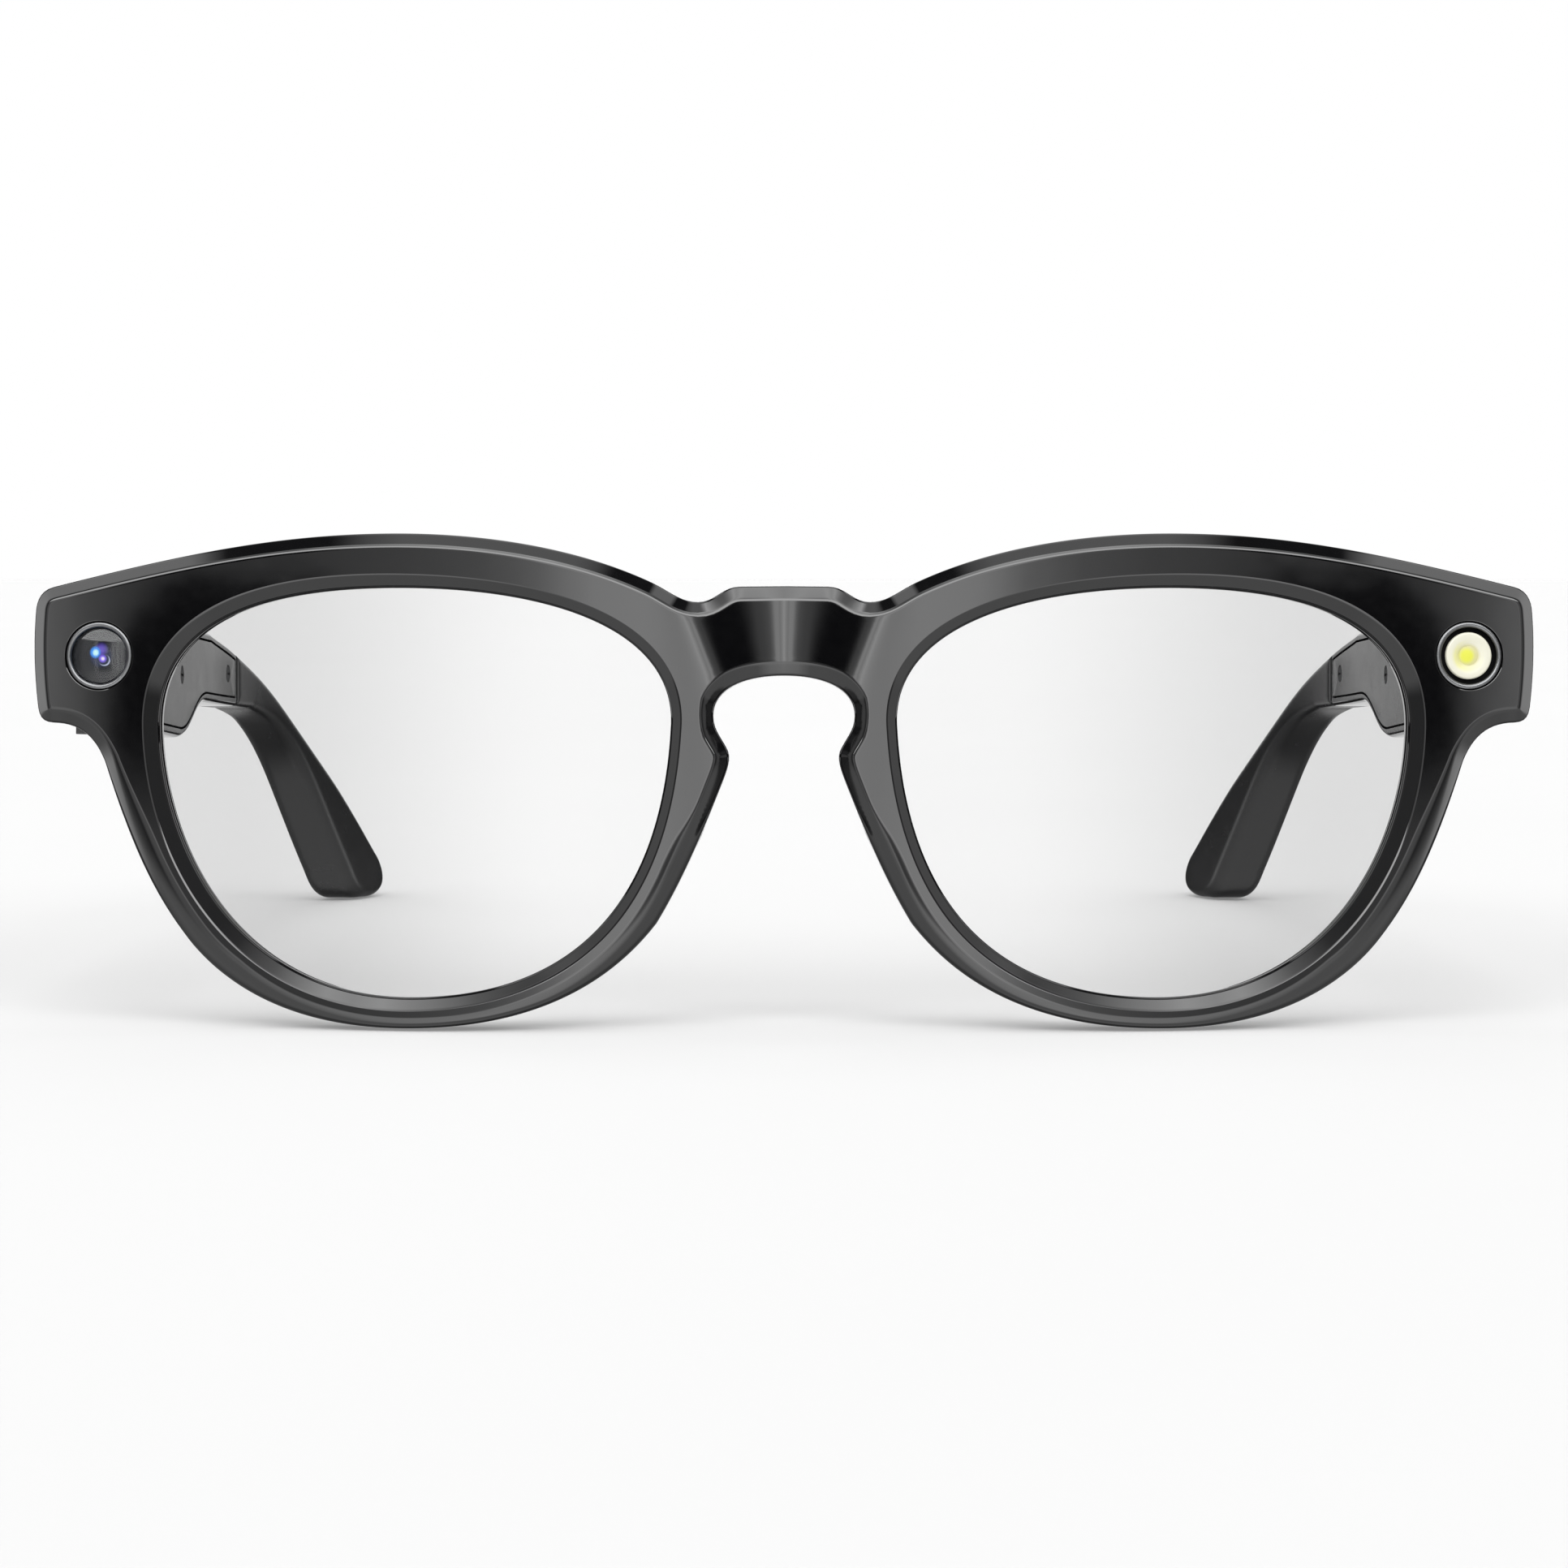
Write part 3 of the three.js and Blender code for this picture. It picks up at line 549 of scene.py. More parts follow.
class Moulding:
    def __init__(self, shape):
        self.shape = shape
        self.points = []
        self.faces = []

    def row(self, flat, depth):
        first = len(self.points)
        depths = np.broadcast_to(depth, len(flat))
        self.points += [self.shape(a, b, d) for (a, b), d in zip(flat, depths)]
        return list(range(first, len(self.points)))

    def band(self, one, two):
        for i in range(len(one)):
            j = (i + 1) % len(one)
            self.faces.append((one[i], one[j], two[j], two[i]))

    def wrap(self, outline, profile):
        """Bands round an outline through (move inwards, depth) pairs; gives the first and last row."""
        ends = []
        last = None
        for move, depth in profile:
            flat = inward(outline, move)
            row = self.row(flat, depth)
            if last:
                self.band(last, row)
            last = row
            ends.append((flat, row))
        return ends[0], ends[-1]

    def fill(self, edges, depth, pace, facing, extra=()):
        """Closes the space inside the first edge and outside the others."""
        flats = [flat for flat, _ in edges]
        rows = [index for _, row in edges for index in row]
        low, high = flats[0].min(0), flats[0].max(0)
        grid = np.stack(np.meshgrid(*(np.arange(a + pace / 2, b, pace) for a, b in zip(low, high))), -1)
        inner = np.concatenate([grid.reshape(-1, 2), *extra])
        clear = np.min([gap_to(inner, flat) for flat in flats], axis=0) > pace * 0.45
        fine = np.zeros(len(inner), bool)
        fine[len(grid.reshape(-1, 2)):] = True
        clear |= fine & (np.min([gap_to(inner, flat) for flat in flats], axis=0) > 0.22)
        inner = inner[clear & inside(inner, flats)]
        spots = np.concatenate([*flats, inner])
        rings = []
        start = 0
        for flat in flats:
            rings += [(start + i, start + (i + 1) % len(flat)) for i in range(len(flat))]
            start += len(flat)
        net = delaunay_2d_cdt([Vector(p) for p in spots], rings, [], 0, 1e-6, True)
        corners, triangles, sources = net[0], net[2], net[3]
        new = {}
        index = []
        for corner, source in zip(corners, sources):
            known = [s for s in source if s < len(rows)]
            if known:
                index.append(rows[known[0]])
            else:
                index.append(len(self.points))
                self.points.append(self.shape(corner.x, corner.y, depth))
        shapes = np.array([[tuple(corners[c]) for c in triangle] for triangle in triangles])
        one_side, other_side = shapes[:, 1] - shapes[:, 0], shapes[:, 2] - shapes[:, 0]
        areas = abs(one_side[:, 0] * other_side[:, 1] - one_side[:, 1] * other_side[:, 0]) / 2
        keep = inside(shapes.mean(1), flats) & (areas > SLIVER)
        for triangle, kept in zip(triangles, keep):
            if kept:
                self.faces.append(tuple(index[c] for c in triangle)[:: 1 if facing else -1])


def inside(points, flats):
    """True where a point is inside the first outline and outside the others."""
    result = None
    for flat in flats:
        a, b = flat, np.roll(flat, -1, 0)
        x, z = points[:, None, 0], points[:, None, 1]
        crosses = (a[:, 1] > z) != (b[:, 1] > z)
        rise = np.where(b[:, 1] == a[:, 1], 1e-12, b[:, 1] - a[:, 1])
        crossing = a[:, 0] + (z - a[:, 1]) * (b[:, 0] - a[:, 0]) / rise
        within = (crosses & (x < crossing)).sum(1) % 2 == 1
        result = within if result is None else result & ~within
    return result


# %% [markdown]
# `make_piece` turns a moulding into an object: doubled points are merged, the faces are turned
# outwards, creases stay crisp above a chosen angle, the piece is tied to its body and gets its
# slot's finish, and the CAD nodes that it stands for are hidden.


# %% Making a piece
def make_piece(name, points, faces, slot, body, nodes=(), crease=30.0, mirror=False, merge=4e-6):
    flip = Matrix.Scale(-1, 4, (1, 0, 0)) if mirror else Matrix.Identity(4)
    mesh = bpy.data.meshes.new(name)
    mesh.from_pydata([LEVEL @ flip @ Vector(p) for p in points], [], faces)
    work = bmesh.new()
    work.from_mesh(mesh)
    bmesh.ops.remove_doubles(work, verts=work.verts, dist=merge)
    bmesh.ops.dissolve_degenerate(work, dist=1e-7, edges=work.edges)
    bmesh.ops.recalc_face_normals(work, faces=work.faces)
    work.to_mesh(mesh)
    open_edges = sum(1 for edge in work.edges if len(edge.link_faces) != 2)
    work.free()
    mesh.shade_smooth()
    mesh.set_sharp_from_angle(angle=math.radians(crease))
    mesh.materials.append(finishes[slot])
    made = bpy.data.objects.new(name, mesh)
    bpy.context.scene.collection.objects.link(made)
    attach(made, body)
    if nodes:
        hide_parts(*nodes)
    print(name, len(mesh.polygons), "faces,", open_edges, "edges not shared by two")
    return made


# %% [markdown]
# ## Front
# The front is two thin shells with a hair-line seam between them. Seen from above it is bowed, and
# its face carries a crisp bevel along the brow and the nose and a soft roll along the lower rims.
# Between two slanting ridges the bridge is scooped out like a saddle.

# %% Lines of the front
FRONT_BOW = 1022.0
FRONT_DEPTH = 3.4
REAR_START = 3.65
REAR_END = 5.4
WINDOW_X, WINDOW_Z, WINDOW_RADIUS = 68.3, 12.8, 3.45

half_front = traced(
    (0, 19.6),
    [
        (4.4, 19.55), (6.2, 19.5, 6.8, 18.0, 8.5, 18.0), (10.2, 18.0, 11.2, 19.0, 13.0, 19.9),
        (19.5, 22.98, 28.5, 24.87, 38.8, 24.87), (50.5, 24.87, 60.0, 22.9, 73.2, 19.75),
        (74.4, 19.45, 74.85, 18.6, 75.0, 17.6), (75.3, 14.3, 75.2, 11.0, 74.8, 7.7),
        (74.65, 6.6, 74.2, 6.2, 73.2, 6.15), (70.6, 6.1, 69.0, 4.9, 67.95, 2.3),
        (66.3, -3.0, 64.3, -9.3, 59.9, -15.0), (55.6, -20.8, 48.0, -24.25, 37.6, -24.25),
        (27.0, -24.25, 18.3, -21.2, 12.6, -13.8), (10.0, -9.5, 8.1, -4.9, 6.4, -0.6),
        (5.6, 1.4, 5.1, 2.6, 5.7, 3.6), (6.2, 4.6, 7.0, 5.4, 7.0, 6.75), (7.0, 9.3, 4.2, 10.75, 0, 10.75),
    ],
    0.55,
)
front_line = turned(np.concatenate([half_front, half_front[-2:0:-1] * (-1, 1)]))
half_lens = traced(
    (38.6, 19.45),
    [
        (51.8, 19.45, 62.9, 16.4, 62.3, 5.1), (61.7, -8.1, 53.3, -21.3, 36.8, -21.15),
        (21.0, -21.0, 12.2, -12.0, 11.2, 5.5), (10.5, 14.8, 22.1, 19.45, 38.6, 19.45),
    ],
    0.6,
)[:-1]
lens_lines = [turned(half_lens * (side, 1), anticlockwise=False) for side in (1, -1)]


def circle(centre, radius, count=48, anticlockwise=True):
    turns = np.linspace(0, 2 * math.pi, count, endpoint=False)
    return turned(np.stack([np.cos(turns), np.sin(turns)], 1) * radius + centre, anticlockwise)


window_lines = [circle((side * WINDOW_X, WINDOW_Z), WINDOW_RADIUS, 64, False) for side in (1, -1)]
print("front outline points:", len(front_line), "lens outline points:", len(half_lens))


# %% [markdown]
# ### Depth of the front
# A real bridge is scooped out so that it clears the nose and carries a long highlight. It could be
# sculpted by hand; a formula for the depth at each (x, z) is exact and keeps both sides equal.


# %% Saddle and bow
def saddle(x, z):
    """Depth of the scooped bridge: none outside the ridges, most on the middle line."""
    ridge = max(6.9 + 0.4 * (z - 10.9), 2.0)
    roundness = max(2.3 + 0.13 * (z - 13), 0.8)
    scoop = 0.21 * (math.hypot(ridge, roundness) - math.hypot(x, roundness))
    return (scoop + math.hypot(scoop, 0.15)) / 2


def on_front(x, z, depth):
    return (x, depth + saddle(x, z) * max(0.0, 1 - depth / FRONT_DEPTH) + x * x / FRONT_BOW, z)


def on_rear(x, z, depth):
    return (x, depth + x * x / FRONT_BOW, z)


print("scoop at the middle of the bridge, mm:", round(saddle(0, 15), 2))

# %% [markdown]
# ### Edges of the front
# Moulded plastic never ends in a sharp edge. A Bevel modifier has one width all round, but this edge
# turns from a crisp bevel into a soft roll, so its cross-section is written as rows of (move inwards,
# depth). Rows set close beside each turn keep the flat parts flat, and their reflections straight.

# %% Edges of the front shell
BEVEL = [
    (0.0, 1.5), (0.04, 1.36), (0.13, 1.2), (0.22, 1.11),
    (1.07, 0.25), (1.16, 0.16), (1.28, 0.06), (1.42, 0.0), (1.65, 0.0),
]
ROLL = [
    (0.0, 2.3), (0.09, 1.8), (0.27, 1.38), (0.5, 1.05),
    (0.85, 0.7), (1.25, 0.4), (1.75, 0.17), (2.4, 0.0), (2.65, 0.0),
]
LENS_BEVEL = [
    (0.0, 1.15), (0.03, 1.0), (0.12, 0.86), (0.2, 0.78),
    (0.78, 0.22), (0.86, 0.14), (0.95, 0.05), (1.05, 0.0), (1.2, 0.0),
]
HOLE_EDGE = [(0.0, 0.1), (0.02, 0.03), (0.08, 0.0), (0.35, 0.0)]
LENS_MIDDLE = 37.0
LENS_BEVEL_ROOM = 1.85


def soft_step(value, start, end):
    t = np.clip((value - start) / (end - start), 0, 1)
    return t * t * (3 - 2 * t)


def rolled_edge(line):
    """The bevel along the brow, turning into the roll round the lower rims; both shrink to fit."""
    x, z = np.abs(line[:, 0]), line[:, 1]
    share = np.where(x > LENS_MIDDLE, soft_step(-z, -5.0, 7.0), soft_step(-z, 2.0, 9.0))
    room_there = np.min([gap_to(line, lens) for lens in lens_lines], axis=0)
    fit = np.clip((room_there - LENS_BEVEL_ROOM) / ROLL[-1][0], 0.4, 1)
    return [
        ((crisp[0] * (1 - share) + soft[0] * share) * fit, (crisp[1] * (1 - share) + soft[1] * share) * fit)
        for crisp, soft in zip(BEVEL, ROLL)
    ]


def lens_bevel(line):
    """Bevel round a lens, wider at the temple."""
    turn = np.arctan2(line[:, 1], np.abs(line[:, 0]) - LENS_MIDDLE)
    size = 1.27 + 0.22 * np.cos(turn)
    return [(share * size, depth * size) for share, depth in LENS_BEVEL]


print("edge rows:", len(BEVEL), "at the outline,", len(LENS_BEVEL), "at each lens")

# %% [markdown]
# ### Front shell
# The glossy face has two lens openings and two round windows. One fill makes the whole face, with a
# finer net over the bridge, because any seam across such a mirror would show.

# %% Front shell
GROOVE = [(1.0, FRONT_DEPTH), (1.0, 2.0), (0.0, 2.0)]
shell = Moulding(on_front)
back_edge, face_edge = shell.wrap(front_line, [(0.0, FRONT_DEPTH), *rolled_edge(front_line)])
face_edges, back_edges = [face_edge], [back_edge]
for line in lens_lines:
    back, face = shell.wrap(line, [*GROOVE, *lens_bevel(line)])
    face_edges.append(face)
    back_edges.append(back)
for line in window_lines:
    back, face = shell.wrap(line, [(0.0, FRONT_DEPTH), *HOLE_EDGE])
    face_edges.append(face)
    back_edges.append(back)
bridge_net = np.stack(np.meshgrid(np.arange(-10.5, 10.6, 0.3), np.arange(9.2, 19.4, 0.4)), -1)
shell.fill(face_edges, 0.0, 1.6, True, [bridge_net.reshape(-1, 2)])
shell.fill(back_edges, FRONT_DEPTH, 3.0, False)
make_piece("front_shell", shell.points, shell.faces, "gloss_black", "front", ["front_frame"], crease=24)

# %% [markdown]
# ## Rear shell and end blocks
# The rear shell closes the front from behind. At each end it grows a block that reaches back to
# the arm and holds the hinge; the block is cut open at its inner rear corner, where the knuckles sit.

# %% Rear shell
REAR_EDGE = [(0.0, REAR_START), (0.0, 4.7), (0.1, 5.02), (0.32, 5.25), (0.65, 5.37), (1.05, REAR_END)]
REAR_LENS_EDGE = [
    (1.0, REAR_START), (1.0, 4.2), (0.2, 4.2), (0.2, 5.0), (0.27, 5.2), (0.42, 5.34), (0.7, REAR_END),
]
MODULE_ROOM = 3.3

rear = Moulding(on_rear)
front_edge, rear_edge = rear.wrap(front_line, REAR_EDGE)
front_edges, rear_edges = [front_edge], [rear_edge]
for line in lens_lines:
    start, end = rear.wrap(line, REAR_LENS_EDGE)
    front_edges.append(start)
    rear_edges.append(end)
for side in (1, -1):
    corners = np.array([(-1, -1), (-1, 1), (1, 1), (1, -1)]) * MODULE_ROOM + (side * WINDOW_X, WINDOW_Z)
    start, end = rear.wrap(turned(corners, anticlockwise=False), [(0.0, REAR_START), (0.0, REAR_END)])
    front_edges.append(start)
    rear_edges.append(end)
rear.fill(front_edges, REAR_START, 3.0, True)
rear.fill(rear_edges, REAR_END, 2.2, False)
make_piece("rear_shell", rear.points, rear.faces, "gloss_black", "front", ["rear_frame"])


# %% [markdown]
# ### Pockets
# The end blocks hold hinges and the arms hold buttons, in square pockets that the mould leaves.
# Boxes cut them with a boolean, and the result is kept as a plain mesh, so that every later step
# sees final faces.


# %% Carving helper
def carve(target, boxes, mirror=False):
    """Cuts box-shaped room out of a piece; a box is three (low, high) pairs in level millimetres."""
    flip = Matrix.Scale(-1, 4, (1, 0, 0)) if mirror else Matrix.Identity(4)
    cutters = []
    for spans in boxes:
        work = bmesh.new()
        middle = Vector([(low + high) / 2 for low, high in spans])
        size = Matrix.Diagonal([high - low for low, high in spans] + [1])
        bmesh.ops.create_cube(work, size=1, matrix=LEVEL @ flip @ Matrix.Translation(middle) @ size)
        bmesh.ops.recalc_face_normals(work, faces=work.faces)
        mesh = bpy.data.meshes.new("cutter")
        work.to_mesh(mesh)
        work.free()
        cutter = bpy.data.objects.new("cutter", mesh)
        bpy.context.scene.collection.objects.link(cutter)
        cutters.append(cutter)
        cut = target.modifiers.new("cut", "BOOLEAN")
        cut.object = cutter
        cut.solver = "EXACT"
    bpy.context.view_layer.update()
    done = target.evaluated_get(bpy.context.evaluated_depsgraph_get())
    target.data = bpy.data.meshes.new_from_object(done)
    target.modifiers.clear()
    for cutter in cutters:
        bpy.data.objects.remove(cutter)
    target.data.set_sharp_from_angle(angle=math.radians(30))
    print(target.name, "carved", len(boxes), "times,", len(target.data.polygons), "faces")


# %% End blocks
JOINT_Y = 15.0
block_line = turned(
    traced(
        (64.3, 6.3),
        [
            (73.2, 6.3), (74.2, 6.3, 74.65, 6.7, 74.78, 7.7), (75.18, 11.0, 75.28, 14.3, 74.98, 17.6),
            (74.83, 18.6, 74.4, 19.45, 73.2, 19.5), (64.3, 19.5), (64.3, 6.3),
        ],
        0.8,
    )[:-1]
)


def on_block(x, z, share):
    start = 5.2 + x * x / FRONT_BOW
    return (x, start + (JOINT_Y - start) * share, z)


for word, mirror in (("left", False), ("right", True)):
    block = Moulding(on_block)
    start, end = block.wrap(block_line, [(0.0, 0.0), (0.0, 0.95), (0.08, 0.98), (0.3, 1.0)])
    block.fill([start], 0.0, 4.0, True)
    block.fill([end], 1.0, 4.0, False)
    made = make_piece(f"{word}_end_block", block.points, block.faces, "gloss_black", "front", mirror=mirror)
    recesses = [
        ((60, 69.3), (13.2, 16), (8.1, 17.1)),
        ((60, 65.45), (11.1, 16), (8.1, 17.1)),
        ((70.3, 72.8), (10, 16), (10.2, 15.6)),
    ]
    carve(made, recesses, mirror)

# %% [markdown]
# ## Lenses
# Each lens is a thin plate that follows the bow of the front, held in the groove between the two
# shells. It has hardly any thickness to see, so an even plate with smooth faces is all it needs.

# %% Lenses
for word, line in zip(("left", "right"), lens_lines):
    glass = Moulding(on_rear)
    start, end = glass.wrap(turned(line), [(-0.75, 2.35), (-0.8, 2.45), (-0.8, 3.85), (-0.75, 3.95)])
    glass.fill([start], 2.35, 3.5, True)
    glass.fill([end], 3.95, 3.5, False)
    make_piece(f"{word}_lens_glass", glass.points, glass.faces, "clear_lens", "front", [f"{word}_lens"])

# %% [markdown]
# ## Nose pads
# Two soft leaves of silicone on the rear shell, swept back and turned to the slope of a nose. A
# leaf is an egg shape that is cut flat where it is bonded on.

# %% Nose pads
PAD_SIZE = (1.9, 4.4, 7.2)
PAD_CENTRE = (10.35, REAR_END + 0.4, -5.2)
PAD_TURN = -0.44
for word, mirror in (("left", False), ("right", True)):
    work = bmesh.new()
    bmesh.ops.create_uvsphere(work, u_segments=56, v_segments=36, radius=1)
    spin = Matrix.Rotation(PAD_TURN, 4, "Y")
    for vertex in work.verts:
        flat_side = math.copysign(abs(vertex.co.x) ** 1.15, vertex.co.x)
        shape = spin @ Vector((flat_side * PAD_SIZE[0], vertex.co.y * PAD_SIZE[1], vertex.co.z * PAD_SIZE[2]))
        spot = shape + Vector(PAD_CENTRE)
        vertex.co = (spot.x, max(spot.y, REAR_END + 0.05) + spot.x**2 / FRONT_BOW, spot.z)
    pad_points = [vertex.co.copy() for vertex in work.verts]
    pad_faces = [[vertex.index for vertex in face.verts] for face in work.faces]
    work.free()
    make_piece(
        f"{word}_pad", pad_points, pad_faces, "pad_rubber", "front", [f"{word}_nose_pad"],
        crease=50, mirror=mirror,
    )

# %% [markdown]
# ## Camera and signal light
# Both sit in round windows and are turned parts, so one helper spins a profile of (radius, depth)
# round the window's centre and lets it follow the bow. The camera has a bright bezel, a smoked cover
# glass, a stepped barrel and coated lens elements; the light has a milky diffuser round its emitter.


# %% Turned parts
def turned_piece(name, side, profile, slot, nodes=(), crease=30, count=80):
    points, faces = [], []
    for radius, depth in profile:
        for k in range(count):
            angle = 2 * math.pi * k / count
            x = side * WINDOW_X + radius * math.cos(angle)
            points.append(on_rear(x, WINDOW_Z + radius * math.sin(angle), depth))
    rings = len(profile)
    for ring in range(rings):
        following = (ring + 1) % rings
        if profile[ring][0] == 0 and profile[following][0] == 0:
            continue
        for k in range(count):
            j = (k + 1) % count
            a, b = ring * count, following * count
            faces.append((a + k, a + j, b + j, b + k))
    return make_piece(name, points, faces, slot, "front", nodes, crease)


def arc(centre, radius, start, end, steps=6):
    """Points (radius, depth) on an arc, angles in degrees from straight forward to outwards."""
    turns = [math.radians(start + (end - start) * i / steps) for i in range(steps + 1)]
    return [(centre[0] + radius * math.sin(t), centre[1] - radius * math.cos(t)) for t in turns]


def dome(radius, edge_depth, rise, steps=8):
    return [(radius * i / steps, edge_depth - rise * (1 - (i / steps) ** 2)) for i in range(steps + 1)]


print("rows in a quarter bead:", len(arc((0, 0), 1, 0, 90)))

# %% [markdown]
# ### Finishes of the camera and the light
# Anodised rings, smoked glass, coated optics and a frosted diffuser. The painted glints of the camera
# lens and the glowing colours of the light lie in rings and spots round the middle of a window, so
# `spot` measures the distance from a point there; a drawn image would need its own mapping and would blur close
# up.

# %% Finishes of the camera and the light
WINDOW_SPOTS = {side: LEVEL @ Vector(on_rear(side * WINDOW_X, WINDOW_Z, 1.4)) for side in (1, -1)}


def distance_from(graph, side, offset):
    """Millimetres from a point of a window; offset is across and up from its middle."""
    centre = WINDOW_SPOTS[side] + Vector((offset[0], 0, offset[1])) / 1000
    away = graph.add("ShaderNodeVectorMath", {"operation": "SUBTRACT"}, {0: graph.place(), 1: centre})
    flat = graph.add("ShaderNodeVectorMath", {"operation": "MULTIPLY"}, {0: away, 1: (1000, 0, 1000)})
    return graph.add("ShaderNodeVectorMath", {"operation": "LENGTH"}, {0: flat}, "Value")


def spot(graph, side, offset, radius, soft=0.4):
    return graph.step(distance_from(graph, side, offset), radius, radius * (1 - soft))


def bezel_metal(graph):
    """Anodised aluminium, dark grey, with turning rings too fine to see singly."""
    streaks = graph.noise(5000.0, 2.0, graph.place())
    shade = graph.blend(streaks, (0.085, 0.086, 0.088, 1), (0.12, 0.122, 0.125, 1))
    return principled(graph, Base_Color=shade, Metallic=1.0, Roughness=streaks * 0.1 + 0.27)


def cover_glass(graph):
    """Smoked glass over the camera; it darkens what is behind it but keeps a clear gloss."""
    cloud = graph.noise(600.0, 2.0, graph.place())
    return principled(
        graph, Base_Color=(0.008, 0.009, 0.011, 1), Roughness=cloud * 0.01 + 0.015, IOR=1.58,
        Alpha=cloud * 0.05 + 0.4,
    )


def flock(graph):
    """Light-trap paint inside the signal light: it gives back next to nothing."""
    grain = graph.noise(6000.0, 2.0, graph.place())
    return principled(graph, Base_Color=(0.0012, 0.0012, 0.0013, 1), Roughness=grain * 0.2 + 0.7, IOR=1.15)


def lens_painted_glints(graph):
    """Dark coated optics with painted reflections: blue and violet glints, and a bright spot for each lens group,
    are painted and glow by emission.
    """
    # Painted glints: cyan, blue, violet and white spots and a pale ring, given as emission colour.
    glow = graph.blend(spot(graph, -1, (-0.1, 0), 1.35), (0, 0, 0, 1), (0.006, 0.012, 0.05, 1))
    glow = graph.blend(spot(graph, -1, (-0.05, 0.62), 0.85, 0.8), glow, (0.12, 0.07, 0.5, 1))
    rim = spot(graph, -1, (0.3, -0.42), 0.62, 0.15) * (1 - spot(graph, -1, (0.22, -0.34), 0.6, 0.15))
    glow = graph.blend(rim, glow, (0.5, 0.55, 0.75, 1))
    glow = graph.blend(spot(graph, -1, (0.14, -0.26), 0.5, 0.6), glow, (0.25, 0.16, 0.95, 1))
    glow = graph.blend(spot(graph, -1, (0.17, -0.26), 0.24, 0.6), glow, (0.9, 0.8, 1.0, 1))
    glow = graph.blend(spot(graph, -1, (-0.62, 0.36), 0.7, 0.5), glow, (0.04, 0.32, 1.0, 1))
    glow = graph.blend(spot(graph, -1, (-0.58, 0.34), 0.42, 0.6), glow, (0.6, 0.98, 1.0, 1))
    cloud = graph.noise(700.0, 1.0, graph.place())
    return principled(
        graph, Base_Color=(0.004, 0.005, 0.012, 1), Roughness=cloud * 0.01 + 0.02, IOR=1.5,
        Emission_Color=glow, Emission_Strength=2.6,
    )


def milky_light(graph):
    """Frosted diffuser: white at the rim, straw in the hollow and yellow at its middle; emission makes all of it
    glow, as painted light.
    """
    cloud = graph.noise(900.0, 2.0, graph.place()) * 0.1
    hollow = spot(graph, 1, (-0.1, 0.0), 1.5, 0.35) - cloud
    shade = graph.blend(hollow, (0.24, 0.236, 0.195, 1), (0.2, 0.19, 0.09, 1))
    crescent = spot(graph, 1, (-0.1, 0.0), 1.75, 0.3) * (1 - spot(graph, 1, (0.15, 0.2), 1.6, 0.3))
    shade = graph.blend(crescent * 0.8, shade, (0.238, 0.232, 0.085, 1))
    shade = graph.blend(spot(graph, 1, (-0.2, 0.05), 1.05, 0.6), shade, (0.235, 0.24, 0.016, 1))
    # Painted glow: the same colours, yellow crescent included, are also given as emission.
    return principled(graph, Base_Color=shade, Roughness=0.35, Emission_Color=shade, Emission_Strength=1.1)


finish("bezel_metal", bezel_metal)
finish("cover_glass", cover_glass)
finish("lens_painted_glints", lens_painted_glints)
finish("milky_light", milky_light)
finish("flock", flock)


def repaint(piece, name):
    piece.data.materials.clear()
    piece.data.materials.append(finishes[name])


# %% [markdown]
# ### Rings, glass and light, from the outside in
# The camera has a round bead as its ring, a shallow domed cover, and a barrel that steps down to the
# front lens. The light has the same ring, then a black holder, a frosted cup and a small dome; cup
# and dome glow with painted light.

# %% Camera pieces
BEZEL_ROUND = arc((3.12, 0.33), 0.29, -80, 80, 8)
bezel_profile = [(2.82, 1.9), (2.82, 0.6), *BEZEL_ROUND, (3.42, 0.6), (3.42, 1.9)]
repaint(turned_piece("camera_ring", -1, bezel_profile, "steel", ["camera_bezel"]), "bezel_metal")
cover_profile = [*dome(2.76, 0.56, 0.44, 16), (2.8, 0.64), (2.8, 0.85), (0, 0.85)]
repaint(turned_piece("camera_cover_glass", -1, cover_profile, "dark_glass", ["camera_window"]), "cover_glass")
barrel_profile = [
    (2.7, 1.15), (2.7, 3.4), (1.5, 3.4), (1.5, 2.2), (1.65, 2.2), (1.65, 1.85), (1.9, 1.85), (1.9, 1.55),
    (2.15, 1.55), (2.15, 1.3), (2.35, 1.3), (2.35, 1.15),
]
turned_piece("camera_lens_barrel", -1, barrel_profile, "satin_black", ["camera_barrel"])
lens_profile = [*dome(1.46, 1.9, 0.5, 12), (1.46, 2.4), (0, 2.4)]
repaint(turned_piece("camera_front_element", -1, lens_profile, "dark_glass", ["camera_lens"]), "lens_painted_glints")

# %% Signal light pieces
repaint(turned_piece("light_ring", 1, bezel_profile, "steel", ["led_bezel"]), "bezel_metal")
holder_profile = [(0, 0.95), (2.88, 0.95), (2.88, 2.4), (0, 2.4)]
repaint(turned_piece("light_holder", 1, holder_profile, "satin_black", ["led_holder"]), "flock")
diffuser_profile = [
    (0.98, 0.85), (0.98, 0.5), (1.3, 0.42), (1.6, 0.33), (1.9, 0.3),
    *arc((2.14, 0.5), 0.2, 0, 80, 5), (2.34, 0.85),
]
made = turned_piece("light_diffuser", 1, diffuser_profile, "cream", ["led_diffuser"])
repaint(made, "milky_light")
emitter_profile = [*dome(0.97, 0.5, 0.06), (0.97, 0.85), (0, 0.85)]
repaint(turned_piece("light_emitter", 1, emitter_profile, "signal_yellow", ["led_emitter"]), "milky_light")

# %% [markdown]
# ## Arms
# An arm is one side outline, cut in two: a hollow shell that carries the electronics, and a solid
# tip that curves down and in behind the ear. The edges are rounded tightly at the hinge and more
# and more softly towards the tip. A satin cover closes the shell on the inside, and the rim of the
# shell round it is etched to match.

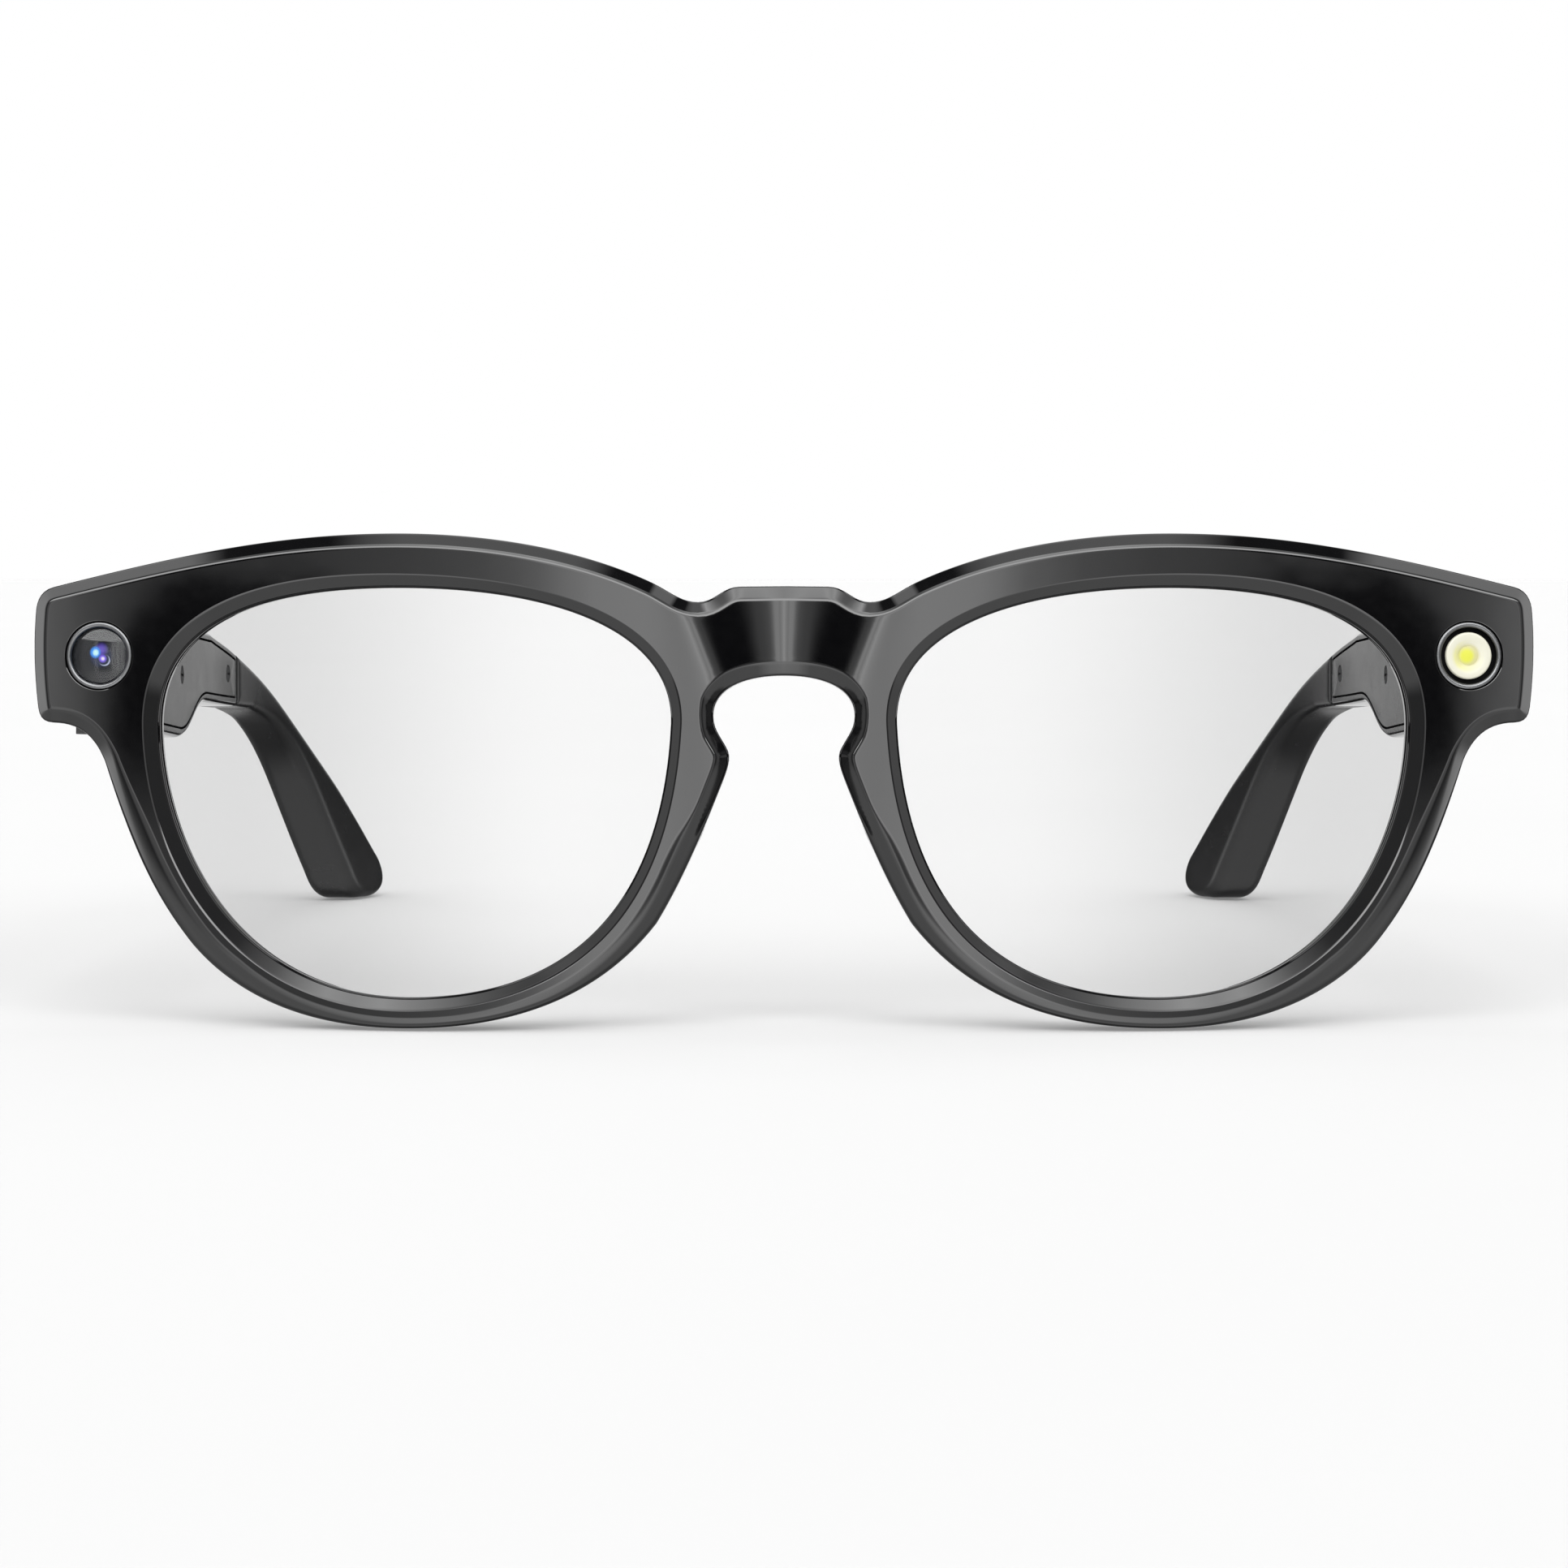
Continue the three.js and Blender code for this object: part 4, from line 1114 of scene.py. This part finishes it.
# %% Lines of an arm
ARM_WIDTH = 5.6
HINGE_END, TAPER = (69.0, 13.0), 65.0
BEND_START, ARM_END, BEND_IN = 77.0, 144.0, 12.5
TIP_TOP = [(77, 18), (92, 16.1), (110, 11.25), (130, 0.9), (142.6, -9.4)]
TIP_UNDER = [(133.2, -12.2), (120, 1.6), (110, 7.6), (100, 9.5)]
PACE = 0.7
arm_side = turned(
    np.concatenate([
        traced((11, 18.3), [(77, 18)], PACE)[:-1],
        through(TIP_TOP, PACE)[:-1],
        traced((142.6, -9.4), [(145.3, -12.0, 145.0, -15.4, 140.5, -15.4), (138.5, -15.4)], PACE)[:-1],
        traced((138.5, -15.4), [(136.0, -15.4, 134.6, -13.9, 133.2, -12.2)], PACE)[:-1],
        through(TIP_UNDER, PACE)[:-1],
        traced((100, 9.5), [(74, 9.7), (66.5, 9.7, 63.5, 5.27, 56, 5.27), (11, 6.53), (11, 18.3)], PACE)[:-1],
    ])
)


def on_arm(y, z, off):
    """off is the distance from the inner face of the arm."""
    inward_share = max(y - BEND_START, 0) / (ARM_END - BEND_START)
    straight = HINGE_END[0] - (y - HINGE_END[1]) / TAPER
    return (straight - BEND_IN * inward_share**2 + off, y, z)


def between(points, low, high):
    """The part of an outline with y from low to high, closed by straight cuts."""
    for sign, limit in ((1, low), (-1, -high)):
        kept = []
        for here, following in zip(points, np.roll(points, -1, 0)):
            a, b = sign * here[0] - limit, sign * following[0] - limit
            if a >= 0:
                kept.append(here)
            if a * b < 0:
                kept.append(here + (following - here) * a / (a - b))
        points = np.array(kept)
    even = []
    for here, following in zip(points, np.roll(points, -1, 0)):
        count = max(1, round(np.linalg.norm(following - here) / PACE))
        even += [here + (following - here) * k / count for k in range(count)]
    return np.array(even)


print("arm outline points:", len(arm_side))

# %% [markdown]
# ### Arm shells
# A moulded tray that is open to the inside. The outline is wrapped round the outer edge, over the
# rim and down into the pocket, which gives one closed skin without a boolean for the big pocket. Only
# the holes for the speaker and the buttons are cut afterwards.

# %% Arm shells
SHELL_SPAN = (15.3, 92.0)
EDGE = 0.9
POCKET_FLOOR = ARM_WIDTH - 1.0
POCKET_ROWS = [(0.93, 0.0), (0.95, 0.1), (0.95, POCKET_FLOOR)]
arm_screws = [(19.8, 10.9), (25.2, 13.7), (56.8, 12.4), (87.0, 13.4)]
GRILLE_HOLE = ((1.65, 3.95), (45.15, 53.65), (0, 8))
BUTTON_HOLES = [((1.35, 4.45), (25.75, 34.25), (16, 22)), ((1.35, 4.35), (17.35, 21.85), (0, 8.2))]


def rounded(radius, steps):
    """Rows over the outer edge of an arm and then over its inner edge."""
    turns = np.linspace(0, math.pi / 2, steps)
    outer = [(radius * (1 - math.sin(t)), ARM_WIDTH - radius * (1 - math.cos(t))) for t in turns]
    inner = [(radius * (1 - math.cos(t)), radius * (1 - math.sin(t))) for t in turns]
    return outer + inner


def along_arm(box):
    """Turns a box's distance from the inner face into x at the box's place on the arm."""
    off, y, z = box
    base = on_arm((y[0] + y[1]) / 2, 0, 0)[0]
    return ((base + off[0], base + off[1]), y, z)


for word, mirror in (("left", False), ("right", True)):
    line = between(arm_side, *SHELL_SPAN)
    hull = Moulding(on_arm)
    start, end = hull.wrap(line, [*rounded(EDGE, 7), *POCKET_ROWS])
    hull.fill([start], ARM_WIDTH, 3.0, True)
    hull.fill([end], POCKET_FLOOR, 3.0, False)
    made = make_piece(
        f"{word}_arm_hull", hull.points, hull.faces, "gloss_black", f"{word}_arm", [f"{word}_arm_shell"],
        mirror=mirror, merge=2e-5,
    )
    made.data.materials.append(finishes["satin_black"])
    for face in made.data.polygons:
        face.material_index = int(face.normal.x * (-1 if mirror else 1) < -0.8)
    cuts = [GRILLE_HOLE, *(BUTTON_HOLES if word == "right" else [])]
    carve(made, [along_arm(box) for box in cuts], mirror)

# %% [markdown]
# ### Inner covers
# A flat plate lies in each tray with a hair-line gap round it. It has holes for the screws and, on
# the right arm, for two charging contacts, which are holes in its fills from the start.

# %% Arm covers
COVER_SPAN = (16.65, 90.85)
COVER_INSET = 1.15
contact_places = [(33.0, 12.2), (37.5, 12.2)]


for word, mirror in (("left", False), ("right", True)):
    line = between(inward(arm_side, COVER_INSET), *COVER_SPAN)
    cover = Moulding(on_arm)
    start, end = cover.wrap(line, [(0.0, 1.0), (0.0, 0.14), (0.05, 0.04), (0.16, 0.0)])
    backs, faces = [start], [end]
    holes = [(place, 1.01) for place in arm_screws[2:]] + [(place, 0.7) for place in arm_screws[:2]]
    if word == "right":
        holes += [(place, 1.2) for place in contact_places]
    for place, radius in holes:
        start, end = cover.wrap(circle(place, radius, 28, False), [(0.0, 1.0), (0.0, 0.08), (0.08, 0.0)])
        backs.append(start)
        faces.append(end)
    cover.fill(backs, 1.0, 3.0, True)
    cover.fill(faces, 0.0, 3.0, False)
    make_piece(
        f"{word}_inner_cover", cover.points, cover.faces, "satin_black", f"{word}_arm", [f"{word}_arm_cover"],
        mirror=mirror,
    )

# %% [markdown]
# ### Arm tips
# Solid plastic over a wire, rounder towards the end so that it sits softly behind the ear. The radius
# is one number for each point of the outline, which a Bevel modifier can't follow.

# %% Arm tips
TIP_START = 92.3
FLARE = 0.16
tip_line = between(arm_side, TIP_START, 200)
tip_y = tip_line[:, 0]
tip_round = EDGE + 0.9 * soft_step(tip_y, TIP_START, 132.0) - 0.4 * soft_step(tip_y, 132.0, 143.0)


def on_tip(y, z, off):
    """Like on_arm, but the tip grows a little thicker outwards."""
    return on_arm(y, z, off * (1 + FLARE * float(soft_step(y, 95.0, 135.0))))


for word, mirror in (("left", False), ("right", True)):
    tip = Moulding(on_tip)
    start, end = tip.wrap(tip_line, rounded(tip_round, 9))
    tip.fill([start], ARM_WIDTH, 2.0, True)
    tip.fill([end], 0.0, 2.0, False)
    make_piece(
        f"{word}_tip", tip.points, tip.faces, "satin_black", f"{word}_arm", [f"{word}_arm_tip"], crease=40,
        mirror=mirror,
    )
